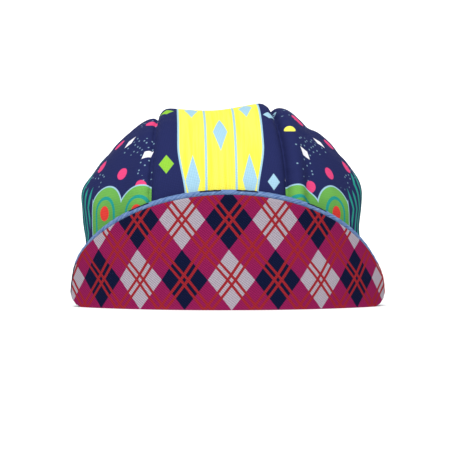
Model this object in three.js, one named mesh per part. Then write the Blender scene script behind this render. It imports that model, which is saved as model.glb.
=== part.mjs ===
// A peaked cycling cap with its peak turned up: a crown of three sewn panels, a stiff
// peak covered in cloth on both faces with a rolled edge, and the band inside the rim.
// Millimetres, +Z up. The cap stands on its rim at z = 0 with the peak towards -Y, and
// the origin is the middle of its footprint there.
import * as THREE from 'three';
import { mergeVertices } from 'three/addons/utils/BufferGeometryUtils.js';

// The crown
const crownWidth = 172.6; // at its widest, a little above the rim
const crownHeight = 122.5; // rim to the top of the bare dome
const frontReach = 85; // middle of the cap to the shoulder at the front
const backReach = 92.6;
const crownShift = -1.7; // how far the dome leans sideways over its rim
const shoulderHeight = 53; // where the upright wall turns into the roof
const domePower = 2.12; // 2 is a round dome, more is squarer at the shoulder
const wallPower = 1.7; // how late the wall turns from the shoulder towards the rim
const clothThickness = 1.2;
const seamGap = 0.4; // between two panels at a seam
const seamTurn = 1; // from a seam to where a side panel's edge is all turned in
const turnReach = { left: 1.4, right: 2.6 }; // how far from there the turn is felt
const seamTuck = 4; // of a side panel's edge, turned in under the strip
const tuckDepth = 1.9; // of that edge below the bare dome
const seamStart = 12; // the height from which the seams draw in

// The strip that runs from front to back between the two side panels
const stripLeft = -43;
const stripRight = 29.4;
const stripFlare = { wall: 2.4, top: -3.5 }; // of each seam away from the strip's middle
const flareStart = 62; // the height from which that changes towards the top
const flareReach = 30; // how far from a seam the side panel still follows it
const stripMiddleLift = { wall: 1.2, top: -2.2 }; // of its middle from the bare dome
const stripEdgeRise = { wall: 2.8, top: 8 }; // of its edges from its middle
const stripEdgeDrop = { wall: 3.6, top: 5.8 }; // of the edges again into the seams

// The fold beside each seam: how full it stands on the roof
const seamPuff = { left: 1.2, right: 4.3 };
const puffReach = 6.5; // from a seam to the fold's fullest part

// The peak
const peakFront = -92.5; // its middle layer at the centre
const peakWidth = 184.2;
const peakHeight = 68;
const peakPlanRadius = 116; // of the curve, seen from above, at its middle layer
const peakThickness = 3; // both cloths together
const peakLean = 2; // how far its upper edge leans back
const peakPower = 2.06; // of the outline's upper curve
const peakSkew = -1.5; // how far its upper part lies to one side
const skewHeights = [14, 34]; // where that starts and where it is complete
const widestHeight = 8.4; // where the outline is widest
const cornerWidth = 6.5; // of the rounded lower corners
const cornerPower = 1.6;
const rollRadiusTop = 1.8;
const rollRadiusEnd = 1.1;
const layerGap = 0.4; // between pieces that lie on each other

// The band inside the rim and the elastic that closes it at the back
const bandHeight = 27;
const bandThickness = 1.5;
const bandClearance = 2.6; // between the band and the crown's cloth
const elasticClearance = 2.6;
const elasticHalfTurn = 38; // degrees each side of the middle of the back
const gatherCount = 7;
const gatherDepth = 3.2;
const gatherHeight = 46;

// Distance from the middle to the rim, by the angle turned from the front
const rimSections = [
  { turn: 0, radius: 90.4 },
  { turn: 20, radius: 91.5 },
  { turn: 40, radius: 94.9 },
  { turn: 60, radius: 98.0 },
  { turn: 80, radius: 86.6 },
  { turn: 100, radius: 83.8 },
  { turn: 120, radius: 83.0 },
  { turn: 140, radius: 82.5 },
  { turn: 160, radius: 80.6 },
  { turn: 180, radius: 79.0 },
];

// The main soft folds, each a line from one point to another with its width across;
// a depth below zero is a ridge
const folds = [
  { from: [44, -80, 34], to: [43, -64, 92], width: 5, depth: 2.2 },
  { from: [58, -66, 26], to: [55, -58, 84], width: 7, depth: -1.4 },
  { from: [51, -34, 106], to: [48, 42, 108], width: 4, depth: 2.2 },
  { from: [-60, -64, 28], to: [-54, -54, 92], width: 8, depth: 1.5 },
  { from: [83, -44, 73], to: [83, 44, 73], width: 11, depth: -3.1 },
  { from: [84, -58, 42], to: [84, 50, 42], width: 11, depth: 1.7 },
  { from: [63, -36, 99], to: [63, 36, 99], width: 12, depth: 0.5 },
  { from: [-7, -42, 117], to: [-7, 42, 117], width: 15, depth: 1.8 },
  { from: [-86, -44, 69], to: [-86, 44, 69], width: 9, depth: -3 },
  { from: [-70, -34, 94], to: [-70, 34, 94], width: 20, depth: 1.9 },
  { from: [-85, -58, 38], to: [-85, 50, 38], width: 8, depth: 1.3 },
  { from: [85, -38, 3], to: [84, -14, 42], width: 5, depth: -1.2 },
  { from: [-85, -38, 3], to: [-86, -14, 42], width: 5, depth: -1.2 },
  { from: [84, -26, 3], to: [84, 12, 46], width: 7, depth: 1.8 },
  { from: [-84, -26, 3], to: [-87, 12, 46], width: 7, depth: 1.8 },
  { from: [40, 84, 24], to: [44, 66, 84], width: 9, depth: 1.6 },
  { from: [-48, 80, 24], to: [-50, 62, 84], width: 9, depth: 1.6 },
];

// How finely each piece is faceted
const facets = {
  stripAcross: 24,
  wallRows: 6,
  roofRows: 20,
  sideColumns: 30,
  sideRoofRows: 13,
  peakColumns: 26,
  peakRows: 7,
  rollSteps: 46,
  rollSides: 8,
  bandSteps: 44,
  elasticSteps: 14,
  bandRows: 3,
};

// Values that follow from the sizes above
const halfWidth = crownWidth / 2;
const roofHeight = crownHeight - shoulderHeight;
const stripMiddle = (stripLeft + stripRight) / 2;
const stripHalf = (stripRight - stripLeft) / 2;
const peakAxisY = peakFront + peakPlanRadius;
const radians = THREE.MathUtils.degToRad;
const clamp = THREE.MathUtils.clamp;
const lerp = THREE.MathUtils.lerp;
const smooth = THREE.MathUtils.smoothstep;

// What is left of 1 once a share of it is used up, on a curve of the given power.
function remainder(share, power = domePower) {
  return (1 - Math.min(1, Math.abs(share)) ** power) ** (1 / power);
}

// The rim's distance from the middle at an angle in degrees, through the table's rows.
function rimRadius(turn) {
  const step = rimSections[1].turn;
  const last = rimSections.length - 1;
  const along = (180 - Math.abs(180 - Math.abs(turn))) / step;
  const at = Math.min(Math.floor(along), last - 1);
  const radius = (i) => rimSections[i < 0 ? -i : i > last ? 2 * last - i : i].radius;
  const [a, b, c, d] = [radius(at - 1), radius(at), radius(at + 1), radius(at + 2)];
  const t = along - at;
  return b + 0.5 * t * (c - a + t * (2 * a - 5 * b + 4 * c - d + t * (3 * (b - c) + d - a)));
}

// A point of the rim, seen from above.
function rimPoint(turn) {
  const radius = rimRadius(turn);
  return new THREE.Vector2(Math.sin(radians(turn)) * radius, -Math.cos(radians(turn)) * radius);
}

// The angle at which the rim crosses a given x, at the front or at the back.
function rimTurnAt(x, atFront) {
  let [low, high] = atFront ? [0, 60] : [180, 120];
  for (let i = 0; i < 40; i += 1) {
    const middle = (low + high) / 2;
    if (rimPoint(middle).x < Math.abs(x)) low = middle;
    else high = middle;
  }
  return low * Math.sign(x);
}

// The dome's reach from its middle line towards the front or the back.
function reachAt(y) {
  return y < 0 ? frontReach : backReach;
}

// The way out of the bare dome at a point on its roof.
function roofNormal(p) {
  const slope = (value, size) => (Math.sign(value) * Math.abs(value / size) ** (domePower - 1)) / size;
  return new THREE.Vector3(
    slope(p.x - crownShift, halfWidth),
    slope(p.y, reachAt(p.y)),
    slope(Math.max(0, p.z - shoulderHeight), roofHeight),
  ).normalize();
}

// How far the wall has gone from the shoulder towards the rim at a height.
function rimShare(z) {
  return ((shoulderHeight - z) / shoulderHeight) ** wallPower;
}

// A point of the upright wall between a shoulder point and a rim point, and its way out.
function wallPoint(shoulder, rim, z) {
  const share = rimShare(z);
  const place = new THREE.Vector3(lerp(shoulder.x, rim.x, share), lerp(shoulder.y, rim.y, share), z);
  const out = roofNormal(new THREE.Vector3(shoulder.x, shoulder.y, shoulderHeight));
  out.lerp(new THREE.Vector3(rim.x, rim.y, 0).normalize(), 0.5 * share).normalize();
  return { place, out };
}

// How far a point lies from a fold's line, faded out past the line's ends.
function foldAt(p, fold) {
  const from = new THREE.Vector3(...fold.from);
  const line = new THREE.Vector3(...fold.to).sub(from);
  const along = clamp(p.clone().sub(from).dot(line) / line.lengthSq(), 0, 1);
  const away = p.distanceTo(from.addScaledVector(line, along)) / fold.width;
  return -fold.depth * Math.exp(-away * away) * Math.sin(Math.PI * lerp(0.12, 0.88, along));
}

// The gathers that the elastic draws up at the back of the rim.
function gatherAt(p) {
  const turn = THREE.MathUtils.radToDeg(Math.atan2(Math.abs(p.x), p.y));
  if (p.y <= 0 || p.z >= gatherHeight || turn >= elasticHalfTurn) return 0;
  const wave = 0.5 + 0.5 * Math.cos((Math.PI * gatherCount * turn) / elasticHalfTurn);
  const fade = smooth(elasticHalfTurn - turn, 0, 9) * (1 - p.z / gatherHeight) ** 1.6;
  return gatherDepth * wave * fade;
}

function softFolds(p) {
  return folds.reduce((sum, fold) => sum + foldAt(p, fold), 0) + gatherAt(p);
}

// How far the strip stands out from the bare dome.
function stripLift(p) {
  const across = Math.abs(p.x - stripMiddle) / stripHalf;
  const upTop = smooth(p.z, shoulderHeight, crownHeight);
  const [middle, rise, drop] = [stripMiddleLift, stripEdgeRise, stripEdgeDrop].map(({ wall, top }) =>
    lerp(wall, top, upTop),
  );
  const lift = middle + rise * across ** 2 - drop * across ** 18;
  return smooth(p.z, seamStart, shoulderHeight) * lift + softFolds(p);
}

// How far a side panel stands out from the bare dome, or in under the strip.
function sideLift(p, side) {
  const fromSeam = side * (p.x - (side > 0 ? stripRight : stripLeft)) - seamTurn;
  if (fromSeam < 0) return softFolds(p) - tuckDepth;
  const [size, turn] = [seamPuff, turnReach].map(({ left, right }) => (side > 0 ? right : left));
  const reach = fromSeam / puffReach;
  const puff = size * reach * Math.exp((1 - reach * reach) / 2);
  const offRim = smooth(p.z, seamStart, shoulderHeight);
  return offRim * puff - tuckDepth * Math.exp(-fromSeam / turn) + softFolds(p);
}

// Moves a point of the crown sideways, so that the strip is wider low down than on top.
function flared(p) {
  const across = p.x - stripMiddle;
  const past = Math.abs(across) - stripHalf;
  const share = past < 0 ? Math.abs(across) / stripHalf : 1 - smooth(past, 0, flareReach);
  const up = clamp((p.z - flareStart) / (crownHeight - flareStart), 0, 1);
  const flare = lerp(stripFlare.wall, stripFlare.top, up * up) * smooth(p.z, 0, shoulderHeight);
  p.x += Math.sign(across) * share * flare;
  return p;
}

// A closed solid between an outer and an inner sheet of points, row by row.
function solidBetween(outer, inner) {
  const rows = outer.length;
  const columns = outer[0].length;
  const points = [...outer.flat(), ...inner.flat()];
  const at = (layer, row, column) => (layer * rows + row) * columns + column;
  const index = [];
  const quad = (a, b, c, d) => index.push(a, b, c, a, c, d);
  for (let r = 0; r + 1 < rows; r += 1) {
    for (let c = 0; c + 1 < columns; c += 1) {
      quad(at(0, r, c), at(0, r, c + 1), at(0, r + 1, c + 1), at(0, r + 1, c));
      quad(at(1, r, c), at(1, r + 1, c), at(1, r + 1, c + 1), at(1, r, c + 1));
    }
  }
  for (let r = 0; r + 1 < rows; r += 1) {
    quad(at(0, r, 0), at(0, r + 1, 0), at(1, r + 1, 0), at(1, r, 0));
    quad(at(0, r + 1, columns - 1), at(0, r, columns - 1), at(1, r, columns - 1), at(1, r + 1, columns - 1));
  }
  for (let c = 0; c + 1 < columns; c += 1) {
    quad(at(0, 0, c + 1), at(0, 0, c), at(1, 0, c), at(1, 0, c + 1));
    quad(at(0, rows - 1, c), at(0, rows - 1, c + 1), at(1, rows - 1, c + 1), at(1, rows - 1, c));
  }
  return closedGeometry(points, index);
}

// Merges shared points, drops faces that have shrunk to nothing and turns the rest out.
function closedGeometry(points, index) {
  const loose = new THREE.BufferGeometry().setFromPoints(points);
  loose.setIndex(index);
  const merged = mergeVertices(loose, 1e-3);
  const found = merged.index.array;
  const p = merged.attributes.position;
  const corner = (i) => new THREE.Vector3().fromBufferAttribute(p, i);
  const kept = [];
  let volume = 0;
  for (let i = 0; i < found.length; i += 3) {
    const [a, b, c] = found.slice(i, i + 3);
    if (a !== b && b !== c && c !== a) {
      kept.push([a, b, c]);
      volume += corner(a).dot(corner(b).cross(corner(c)));
    }
  }
  merged.setIndex(kept.flatMap((f) => (volume < 0 ? f.reverse() : f)));
  merged.computeVertexNormals();
  return merged;
}

// A cloth panel of the crown: its outer face from the dome and a lift, its inner face
// one thickness in, both held clear of the panels beside it and of the floor.
function panelGeometry(rows, lift, within) {
  const sheet = (depth) =>
    rows.map((row) =>
      row.map(({ place, out }) => {
        const p = place.clone().addScaledVector(out, lift(place) - depth);
        p.x = clamp(p.x, within[0], within[1]);
        if (place.z < 1e-6) p.z = 0;
        return flared(p);
      }),
    );
  return solidBetween(sheet(0), sheet(clothThickness));
}

// Numbers from 0 to 1 in even steps.
function steps(count) {
  return Array.from({ length: count + 1 }, (_, i) => i / count);
}

// How much closer the facets stand at a panel's edges than in its middle
const edgeCrowding = 0.35;
const endCrowding = 0.05;

// The strip: up the front wall, over the roof and down the back wall.
function stripRows() {
  const reach = stripHalf - seamGap / 2;
  const columns = steps(facets.stripAcross).map((share) => {
    const s = 2 * share - 1;
    const x = stripMiddle + reach * s * (1 + edgeCrowding * (1 - s * s));
    const q = remainder((x - crownShift) / halfWidth);
    const wall = (atFront) => {
      const shoulder = new THREE.Vector2(x, q * (atFront ? -frontReach : backReach));
      const rim = new THREE.Vector2(x, rimPoint(rimTurnAt(x, atFront)).y);
      return steps(facets.wallRows).map((t) => wallPoint(shoulder, rim, t * shoulderHeight));
    };
    const roof = steps(facets.roofRows).map((t) => {
      const forward = Math.abs(Math.cos(Math.PI * t)) ** (2 / domePower) * Math.sign(0.5 - t);
      const y = -q * forward * reachAt(-forward);
      const z = shoulderHeight + roofHeight * q * Math.sin(Math.PI * t) ** (2 / domePower);
      const place = new THREE.Vector3(x, y, z);
      return { place, out: roofNormal(place) };
    });
    return [...wall(true).slice(0, -1), ...roof, ...wall(false).slice(0, -1).reverse()];
  });
  columns.flat().forEach(({ out }) => out.setX(0).normalize());
  return columns[0].map((_, row) => columns.map((column) => column[row]));
}

// One side panel: columns from the front seam to the back seam, each from the rim up
// the wall and over the roof to the strip, with the edges tucked in under the strip.
function sideRows(side) {
  const edge = side * (side > 0 ? stripRight - seamTuck : stripLeft + seamTuck);
  const inset = edge - side * crownShift; // from the middle of the dome
  const shoulderLine = shoulderCurve(inset);
  const [front, back] = [rimTurnAt(edge, true), rimTurnAt(edge, false)];
  const rimLine = new THREE.CatmullRomCurve3(steps(90).map((t) => flat(rimPoint(lerp(front, back, t)))));
  rimLine.arcLengthDivisions = 800;
  const columns = steps(facets.sideColumns).map((along) => {
    const share = along - endCrowding * Math.sin(2 * Math.PI * along);
    const shoulder = shoulderLine.getPointAt(share);
    const rim = rimLine.getPointAt(share);
    shoulder.x = side * shoulder.x + crownShift;
    rim.x *= side;
    const wall = steps(facets.wallRows).map((t) => wallPoint(shoulder, rim, t * shoulderHeight));
    const q = remainder(shoulder.y / reachAt(shoulder.y));
    const last = Math.acos(clamp(inset / (halfWidth * q), 0, 1) ** (domePower / 2));
    const roof = steps(facets.sideRoofRows).slice(1).map((t) => {
      const angle = last * (1 - (1 - t) ** 1.6);
      const x = Math.max(inset, halfWidth * q * Math.cos(angle) ** (2 / domePower));
      const z = shoulderHeight + roofHeight * q * Math.sin(angle) ** (2 / domePower);
      const place = new THREE.Vector3(side * x + crownShift, shoulder.y, z);
      return { place, out: roofNormal(place) };
    });
    return [...wall, ...roof];
  });
  columns.flat().forEach(({ place, out }) => {
    const fromEdge = side * place.x - edge;
    out.setX(out.x * smooth(fromEdge, seamTuck, 3 * seamTuck)).normalize();
  });
  return columns;
}

function flat(p) {
  return new THREE.Vector3(p.x, p.y, 0);
}

// The shoulder line of one side, from the front seam round to the back seam.
function shoulderCurve(seam) {
  const ends = [-1, 1].map((end) => remainder(seam / halfWidth) * reachAt(end) * end);
  const points = steps(120).map((t) => {
    const y = lerp(ends[0], ends[1], 0.5 - 0.5 * Math.cos(Math.PI * t));
    return new THREE.Vector3(Math.max(seam, halfWidth * remainder(y / reachAt(y))), y, 0);
  });
  const curve = new THREE.CatmullRomCurve3(points);
  curve.arcLengthDivisions = 800;
  return curve;
}

// The height of the peak's upper outline at a distance from its centre, inset by a
// margin all round.
function peakTop(x, inset) {
  const rise = peakHeight - widestHeight - inset;
  return widestHeight + rise * remainder(x / (peakWidth / 2 - inset), peakPower);
}

// The height of the peak's lower outline there: straight, with rounded corners.
function peakBottom(x, inset) {
  const past = (Math.abs(x) - (peakWidth / 2 - inset - cornerWidth)) / cornerWidth;
  return past <= 0 ? 0 : widestHeight * (1 - remainder(past, cornerPower));
}

// A point of the peak, moved off its middle layer towards the front.
function peakPoint(x, z, forward) {
  const radius = peakPlanRadius + forward;
  const bend = Math.asin(x / peakPlanRadius);
  const lean = peakLean * smooth(z, 0, peakHeight);
  const skew = peakSkew * smooth(z, ...skewHeights);
  return new THREE.Vector3(radius * Math.sin(bend) + skew, peakAxisY - radius * Math.cos(bend) + lean, z);
}

// One cloth of the peak, between two distances from the middle layer.
function peakCloth(outside, inside, inset) {
  const reach = peakWidth / 2 - inset;
  const sheet = (forward) =>
    steps(facets.peakColumns).map((s) => {
      const x = reach * Math.sin((Math.PI / 2) * (2 * s - 1));
      const [low, high] = [peakBottom(x, inset), peakTop(x, inset)];
      return steps(facets.peakRows).map((t) => peakPoint(x, lerp(low, high, t), forward));
    });
  return solidBetween(sheet(outside), sheet(inside));
}

// The rolled edge round the peak, from one lower corner over the top to the other.
function peakRoll() {
  const rings = steps(facets.rollSteps).map((s) => {
    const { x, z, slopeX, slopeZ } = rollCentre(s);
    const radius = rollRadius(s);
    return Array.from({ length: facets.rollSides }, (_, k) => {
      const angle = (2 * Math.PI * k) / facets.rollSides;
      const across = radius * Math.cos(angle);
      return peakPoint(x + slopeZ * across, z - slopeX * across, radius * Math.sin(angle));
    });
  });
  return tubeGeometry(rings);
}

function rollRadius(s) {
  return lerp(rollRadiusEnd, rollRadiusTop, Math.sin(Math.PI * s) ** 1.5);
}

// The middle line of the rolled edge, seen from the front, with its direction.
function rollCentre(s) {
  const at = (share) => {
    const inset = rollRadius(clamp(share, 0, 1));
    const angle = lerp(-0.34, 1.34, share) * Math.PI;
    const [across, up] = [Math.cos(angle), Math.sin(angle)];
    const reach = peakWidth / 2 - inset;
    const power = 2 / (up < 0 ? cornerPower : peakPower);
    const [x, z] = [across, up].map((part) => Math.abs(part) ** power);
    if (up < 0) {
      const out = reach - cornerWidth * (1 - x);
      return new THREE.Vector2(-Math.sign(across) * out, widestHeight * (1 - z));
    }
    const rise = peakHeight - widestHeight - inset;
    return new THREE.Vector2(-Math.sign(across) * reach * x, widestHeight + rise * z);
  };
  const centre = at(s);
  const way = at(s + 1e-3).sub(at(s - 1e-3)).normalize();
  return { x: centre.x, z: centre.y, slopeX: way.x, slopeZ: way.y };
}

// A tube through rings of points, closed at both ends.
function tubeGeometry(rings) {
  const sides = rings[0].length;
  const middle = (ring) => ring.reduce((sum, p) => sum.add(p), new THREE.Vector3()).divideScalar(sides);
  const points = [...rings.flat(), middle(rings[0]), middle(rings.at(-1))];
  const index = [];
  const at = (ring, side) => ring * sides + (side % sides);
  for (let r = 0; r + 1 < rings.length; r += 1) {
    for (let k = 0; k < sides; k += 1) {
      index.push(at(r, k), at(r + 1, k), at(r + 1, k + 1), at(r, k), at(r + 1, k + 1), at(r, k + 1));
    }
  }
  const [first, last] = [rings.length * sides, rings.length * sides + 1];
  for (let k = 0; k < sides; k += 1) {
    index.push(first, at(0, k), at(0, k + 1), last, at(rings.length - 1, k + 1), at(rings.length - 1, k));
  }
  return closedGeometry(points, index);
}

// The wall's distance from the middle, by angle and height.
function wallRadius(turn, z) {
  const [across, along] = [Math.sin(radians(turn)), -Math.cos(radians(turn))];
  const side = halfWidth + Math.sign(across) * crownShift;
  const shares = [across / side, along / reachAt(along)].map((v) => Math.abs(v) ** domePower);
  const shoulder = (shares[0] + shares[1]) ** (-1 / domePower);
  return lerp(shoulder, rimRadius(turn), rimShare(z));
}

// A stretch of the band inside the rim, between two angles from the front.
function bandGeometry(from, to, count, spare) {
  const sheet = (inset) =>
    steps(count).map((s) => {
      const turn = radians(lerp(from, to, s));
      return steps(facets.bandRows).map((t) => {
        const radius = wallRadius(lerp(from, to, s), t * bandHeight) - inset;
        return new THREE.Vector3(Math.sin(turn) * radius, -Math.cos(turn) * radius, t * bandHeight);
      });
    });
  const outside = clothThickness + spare;
  return solidBetween(sheet(outside), sheet(outside + bandThickness));
}

function named(name, geometry, colour, roughness) {
  const material = new THREE.MeshStandardMaterial({ color: colour, roughness, metalness: 0 });
  const mesh = new THREE.Mesh(geometry, material);
  mesh.name = name;
  return mesh;
}

function sidePanel(side) {
  const name = side > 0 ? 'crown_side_right' : 'crown_side_left';
  const within = side > 0 ? [stripRight - seamTuck, Infinity] : [-Infinity, stripLeft + seamTuck];
  const geometry = panelGeometry(sideRows(side), (p) => sideLift(p, side), within);
  return named(name, geometry, 0x2a2c5e, 0.85);
}

function stripPanel() {
  const within = [stripLeft + seamGap / 2, stripRight - seamGap / 2];
  return named('crown_strip', panelGeometry(stripRows(), stripLift, within), 0xf4f05c, 0.85);
}

// The two cloths stop short of the rolled edge, which goes round them.
function peakPieces() {
  const inset = 2 * rollRadiusTop + layerGap;
  const half = peakThickness / 2;
  const under = peakCloth(half, layerGap / 2, inset);
  const upper = peakCloth(-layerGap / 2, -half, inset);
  return [
    named('peak_underside', under, 0x9b1c5f, 0.9),
    named('peak_topside', upper, 0x2a2c5e, 0.9),
    named('peak_rolled_edge', peakRoll(), 0x86ade0, 0.8),
  ];
}

function bandPieces() {
  const end = 180 - elasticHalfTurn;
  const band = bandGeometry(0.3 - end, end - 0.3, facets.bandSteps, bandClearance);
  const elastic = bandGeometry(end, 360 - end, facets.elasticSteps, elasticClearance);
  return [named('sweatband', band, 0x1f2148, 0.9), named('back_elastic', elastic, 0x17181f, 0.9)];
}

const cap = new THREE.Group();
cap.add(stripPanel(), sidePanel(-1), sidePanel(1), ...peakPieces(), ...bandPieces());

export default cap;
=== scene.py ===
"""The dressed model of a peaked cycling cap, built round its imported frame.

The cap stands on its rim with its peak turned up against the front of the crown. Shapes
are worked out in millimetres, with -Y towards the peak, and become metres in each mesh.
"""

import logging
import math
from collections.abc import Callable
from dataclasses import dataclass
from enum import Enum

import bpy
import numpy as np
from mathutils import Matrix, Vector

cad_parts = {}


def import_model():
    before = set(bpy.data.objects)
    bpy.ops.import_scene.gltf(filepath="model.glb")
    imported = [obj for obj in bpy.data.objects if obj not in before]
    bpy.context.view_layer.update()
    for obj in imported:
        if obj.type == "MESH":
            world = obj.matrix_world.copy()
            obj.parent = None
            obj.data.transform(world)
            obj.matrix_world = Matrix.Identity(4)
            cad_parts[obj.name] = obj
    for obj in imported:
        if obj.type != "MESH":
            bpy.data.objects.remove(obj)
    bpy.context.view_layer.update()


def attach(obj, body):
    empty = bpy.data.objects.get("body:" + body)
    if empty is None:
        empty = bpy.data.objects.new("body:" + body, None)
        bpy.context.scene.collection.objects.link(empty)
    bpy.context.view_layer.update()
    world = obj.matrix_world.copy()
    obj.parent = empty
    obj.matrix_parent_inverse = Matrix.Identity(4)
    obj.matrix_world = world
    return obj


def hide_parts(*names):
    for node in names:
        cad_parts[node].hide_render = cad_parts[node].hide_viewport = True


Array = np.ndarray
Piece = bpy.types.Object

LOG = logging.getLogger("cap")
MM = 0.001
BODY = "root"


class Side(Enum):
    """Which side of the middle strip a panel lies on, as the sign of its x."""

    LEFT = -1
    RIGHT = 1


class Weave(Enum):
    """How a cloth's threads stand out of it."""

    PLAIN = "plain"
    MESH = "mesh"
    TWILL = "twill"
    BRUSHED = "brushed"
    RIBBED = "ribbed"


class Draw(Enum):
    """The seeds of the random numbers that the prints draw, one for each use."""

    MARK_ACROSS = 1.0
    MARK_UP = 2.0
    ZIGZAG_REACH = 4.0
    DOT_ACROSS = 5.0
    DOT_UP = 6.0
    DOT_SHOWN = 7.0
    MARK_KIND = 9.0


# Maths on arrays of numbers and points


def blend(low: Array | float, high: Array | float, share: Array | float) -> Array:
    """The value at a share of the way from low to high."""
    return low + (high - low) * share


def smooth(value: Array, low: float, high: float) -> Array:
    """0 below low, 1 above high and a smooth step between them."""
    share = np.clip((value - low) / (high - low), 0, 1)
    return share * share * (3 - 2 * share)


def remainder(share: Array, power: float) -> Array:
    """What is left of 1 once a share of it is used up, on a curve of the given power."""
    return (1 - np.minimum(1, np.abs(share)) ** power) ** (1 / power)


def unit(vectors: Array) -> Array:
    """The vectors at length 1."""
    return vectors / np.linalg.norm(vectors, axis=-1, keepdims=True)


def point(x: Array, y: Array, z: Array) -> Array:
    """Points from their three coordinates, broadcast against each other."""
    return np.stack(np.broadcast_arrays(x, y, z), axis=-1).astype(float)


def run_length(points: Array) -> Array:
    """The length run from the first point to each one, along the first axis."""
    steps = np.linalg.norm(np.diff(points, axis=0), axis=-1)
    return np.concatenate([np.zeros_like(steps[:1]), np.cumsum(steps, axis=0)])


def on_curve(points: Array, shares: Array) -> Array:
    """The points at shares of a curve's length, where the curve is a row of close points."""
    run = run_length(points)
    return np.stack([np.interp(shares * run[-1], run, axis) for axis in points.T], axis=-1)


def rounded_edge(distance: Array, radius: float) -> Array:
    """How far a cloth has turned down at a distance from its rounded edge."""
    short = np.clip(radius - distance, 0, radius)
    return radius - np.sqrt(radius**2 - short**2)


@dataclass(frozen=True)
class Fold:
    """A soft fold along a line; a depth below zero is a ridge."""

    start: tuple[float, float, float]
    end: tuple[float, float, float]
    width: float
    depth: float
    fade: float = 0.12

    def lift(self, p: Array) -> Array:
        """How far the fold moves each point out of the cloth.

        Args:
            p: Points in millimetres.

        Returns:
            A length for each point.
        """
        start, line = np.array(self.start), np.subtract(self.end, self.start)
        along = np.clip((p - start) @ line / (line @ line), 0, 1)
        away = np.linalg.norm(p - start - along[..., None] * line, axis=-1) / self.width
        return -self.depth * np.exp(-away * away) * np.sin(np.pi * blend(self.fade, 1 - self.fade, along))


@dataclass(frozen=True)
class Waves:
    """Slow shallow waves of a cloth that nothing pulls tight, summed from seeded sines."""

    seed: int
    height: float
    shortest: float
    longest: float
    count: int = 7

    def lift(self, p: Array) -> Array:
        """How far the waves move each point out of the cloth.

        Args:
            p: Points in millimetres.

        Returns:
            A length for each point.
        """
        rng = np.random.default_rng(self.seed)
        total = np.zeros(p.shape[:-1])
        for _ in range(self.count):
            way = unit(rng.normal(size=3))
            length = rng.uniform(self.shortest, self.longest)
            total += np.sin(2 * np.pi * (p @ way / length + rng.uniform()))
        return self.height * total / math.sqrt(self.count)


@dataclass(frozen=True)
class Pleats:
    """Creases that an elastic draws up, each from the rim to its own height, and the
    cloth that stands out between them. Angles and widths are in degrees, and each pair
    is the least and the most that is drawn."""

    seed: int = 23
    count: int = 21
    half_turn: float = 35.0
    jitter: float = 1.2
    slant: float = 0.09
    heights: tuple[float, float] = (22, 60)
    depths: tuple[float, float] = (1.3, 2.5)
    widths: tuple[float, float] = (0.9, 1.5)
    swell: float = 0.35
    swell_reach: float = 6.0

    def lift(self, turn: Array, z: Array) -> Array:
        """How far the creases move points out of the cloth.

        Args:
            turn: The points' angles from the back, in degrees.
            z: Their heights.

        Returns:
            A length for each point, below zero where it moves in.
        """
        rng = np.random.default_rng(self.seed)
        total = np.zeros(np.broadcast(turn, z).shape)
        for middle in np.linspace(-self.half_turn, self.half_turn, self.count):
            place = middle + rng.uniform(-self.jitter, self.jitter)
            slant = rng.uniform(-self.slant, self.slant)
            height = rng.uniform(*self.heights)
            depth = rng.uniform(*self.depths)
            width = rng.uniform(*self.widths)
            away = (turn - place - slant * z) / width
            crease = np.exp(-away * away) - self.swell * np.exp(-(away * away) / self.swell_reach)
            total -= depth * crease * np.clip(1 - z / height, 0, 1)
        return total


MAIN_FOLDS = (
    Fold((44, -80, 34), (43, -64, 92), 5, 2.2),
    Fold((58, -66, 26), (55, -58, 84), 7, -1.4),
    Fold((51, -34, 106), (48, 42, 108), 4, 2.2),
    Fold((-60, -64, 28), (-54, -54, 92), 8, 1.5),
    Fold((83, -44, 73), (83, 44, 73), 11, -3.1),
    Fold((84, -58, 42), (84, 50, 42), 11, 1.7),
    Fold((63, -36, 99), (63, 36, 99), 12, 0.5),
    Fold((-7, -42, 117), (-7, 42, 117), 15, 1.8),
    Fold((-86, -44, 69), (-86, 44, 69), 9, -3),
    Fold((-70, -34, 94), (-70, 34, 94), 20, 1.9),
    Fold((-85, -58, 38), (-85, 50, 38), 8, 1.3),
    Fold((85, -38, 3), (84, -14, 42), 5, -1.2),
    Fold((-85, -38, 3), (-86, -14, 42), 5, -1.2),
    Fold((84, -26, 3), (84, 12, 46), 7, 1.8),
    Fold((-84, -26, 3), (-87, 12, 46), 7, 1.8),
    Fold((40, 84, 24), (44, 66, 84), 9, 1.6),
    Fold((-48, 80, 24), (-50, 62, 84), 9, 1.6),
)

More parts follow.
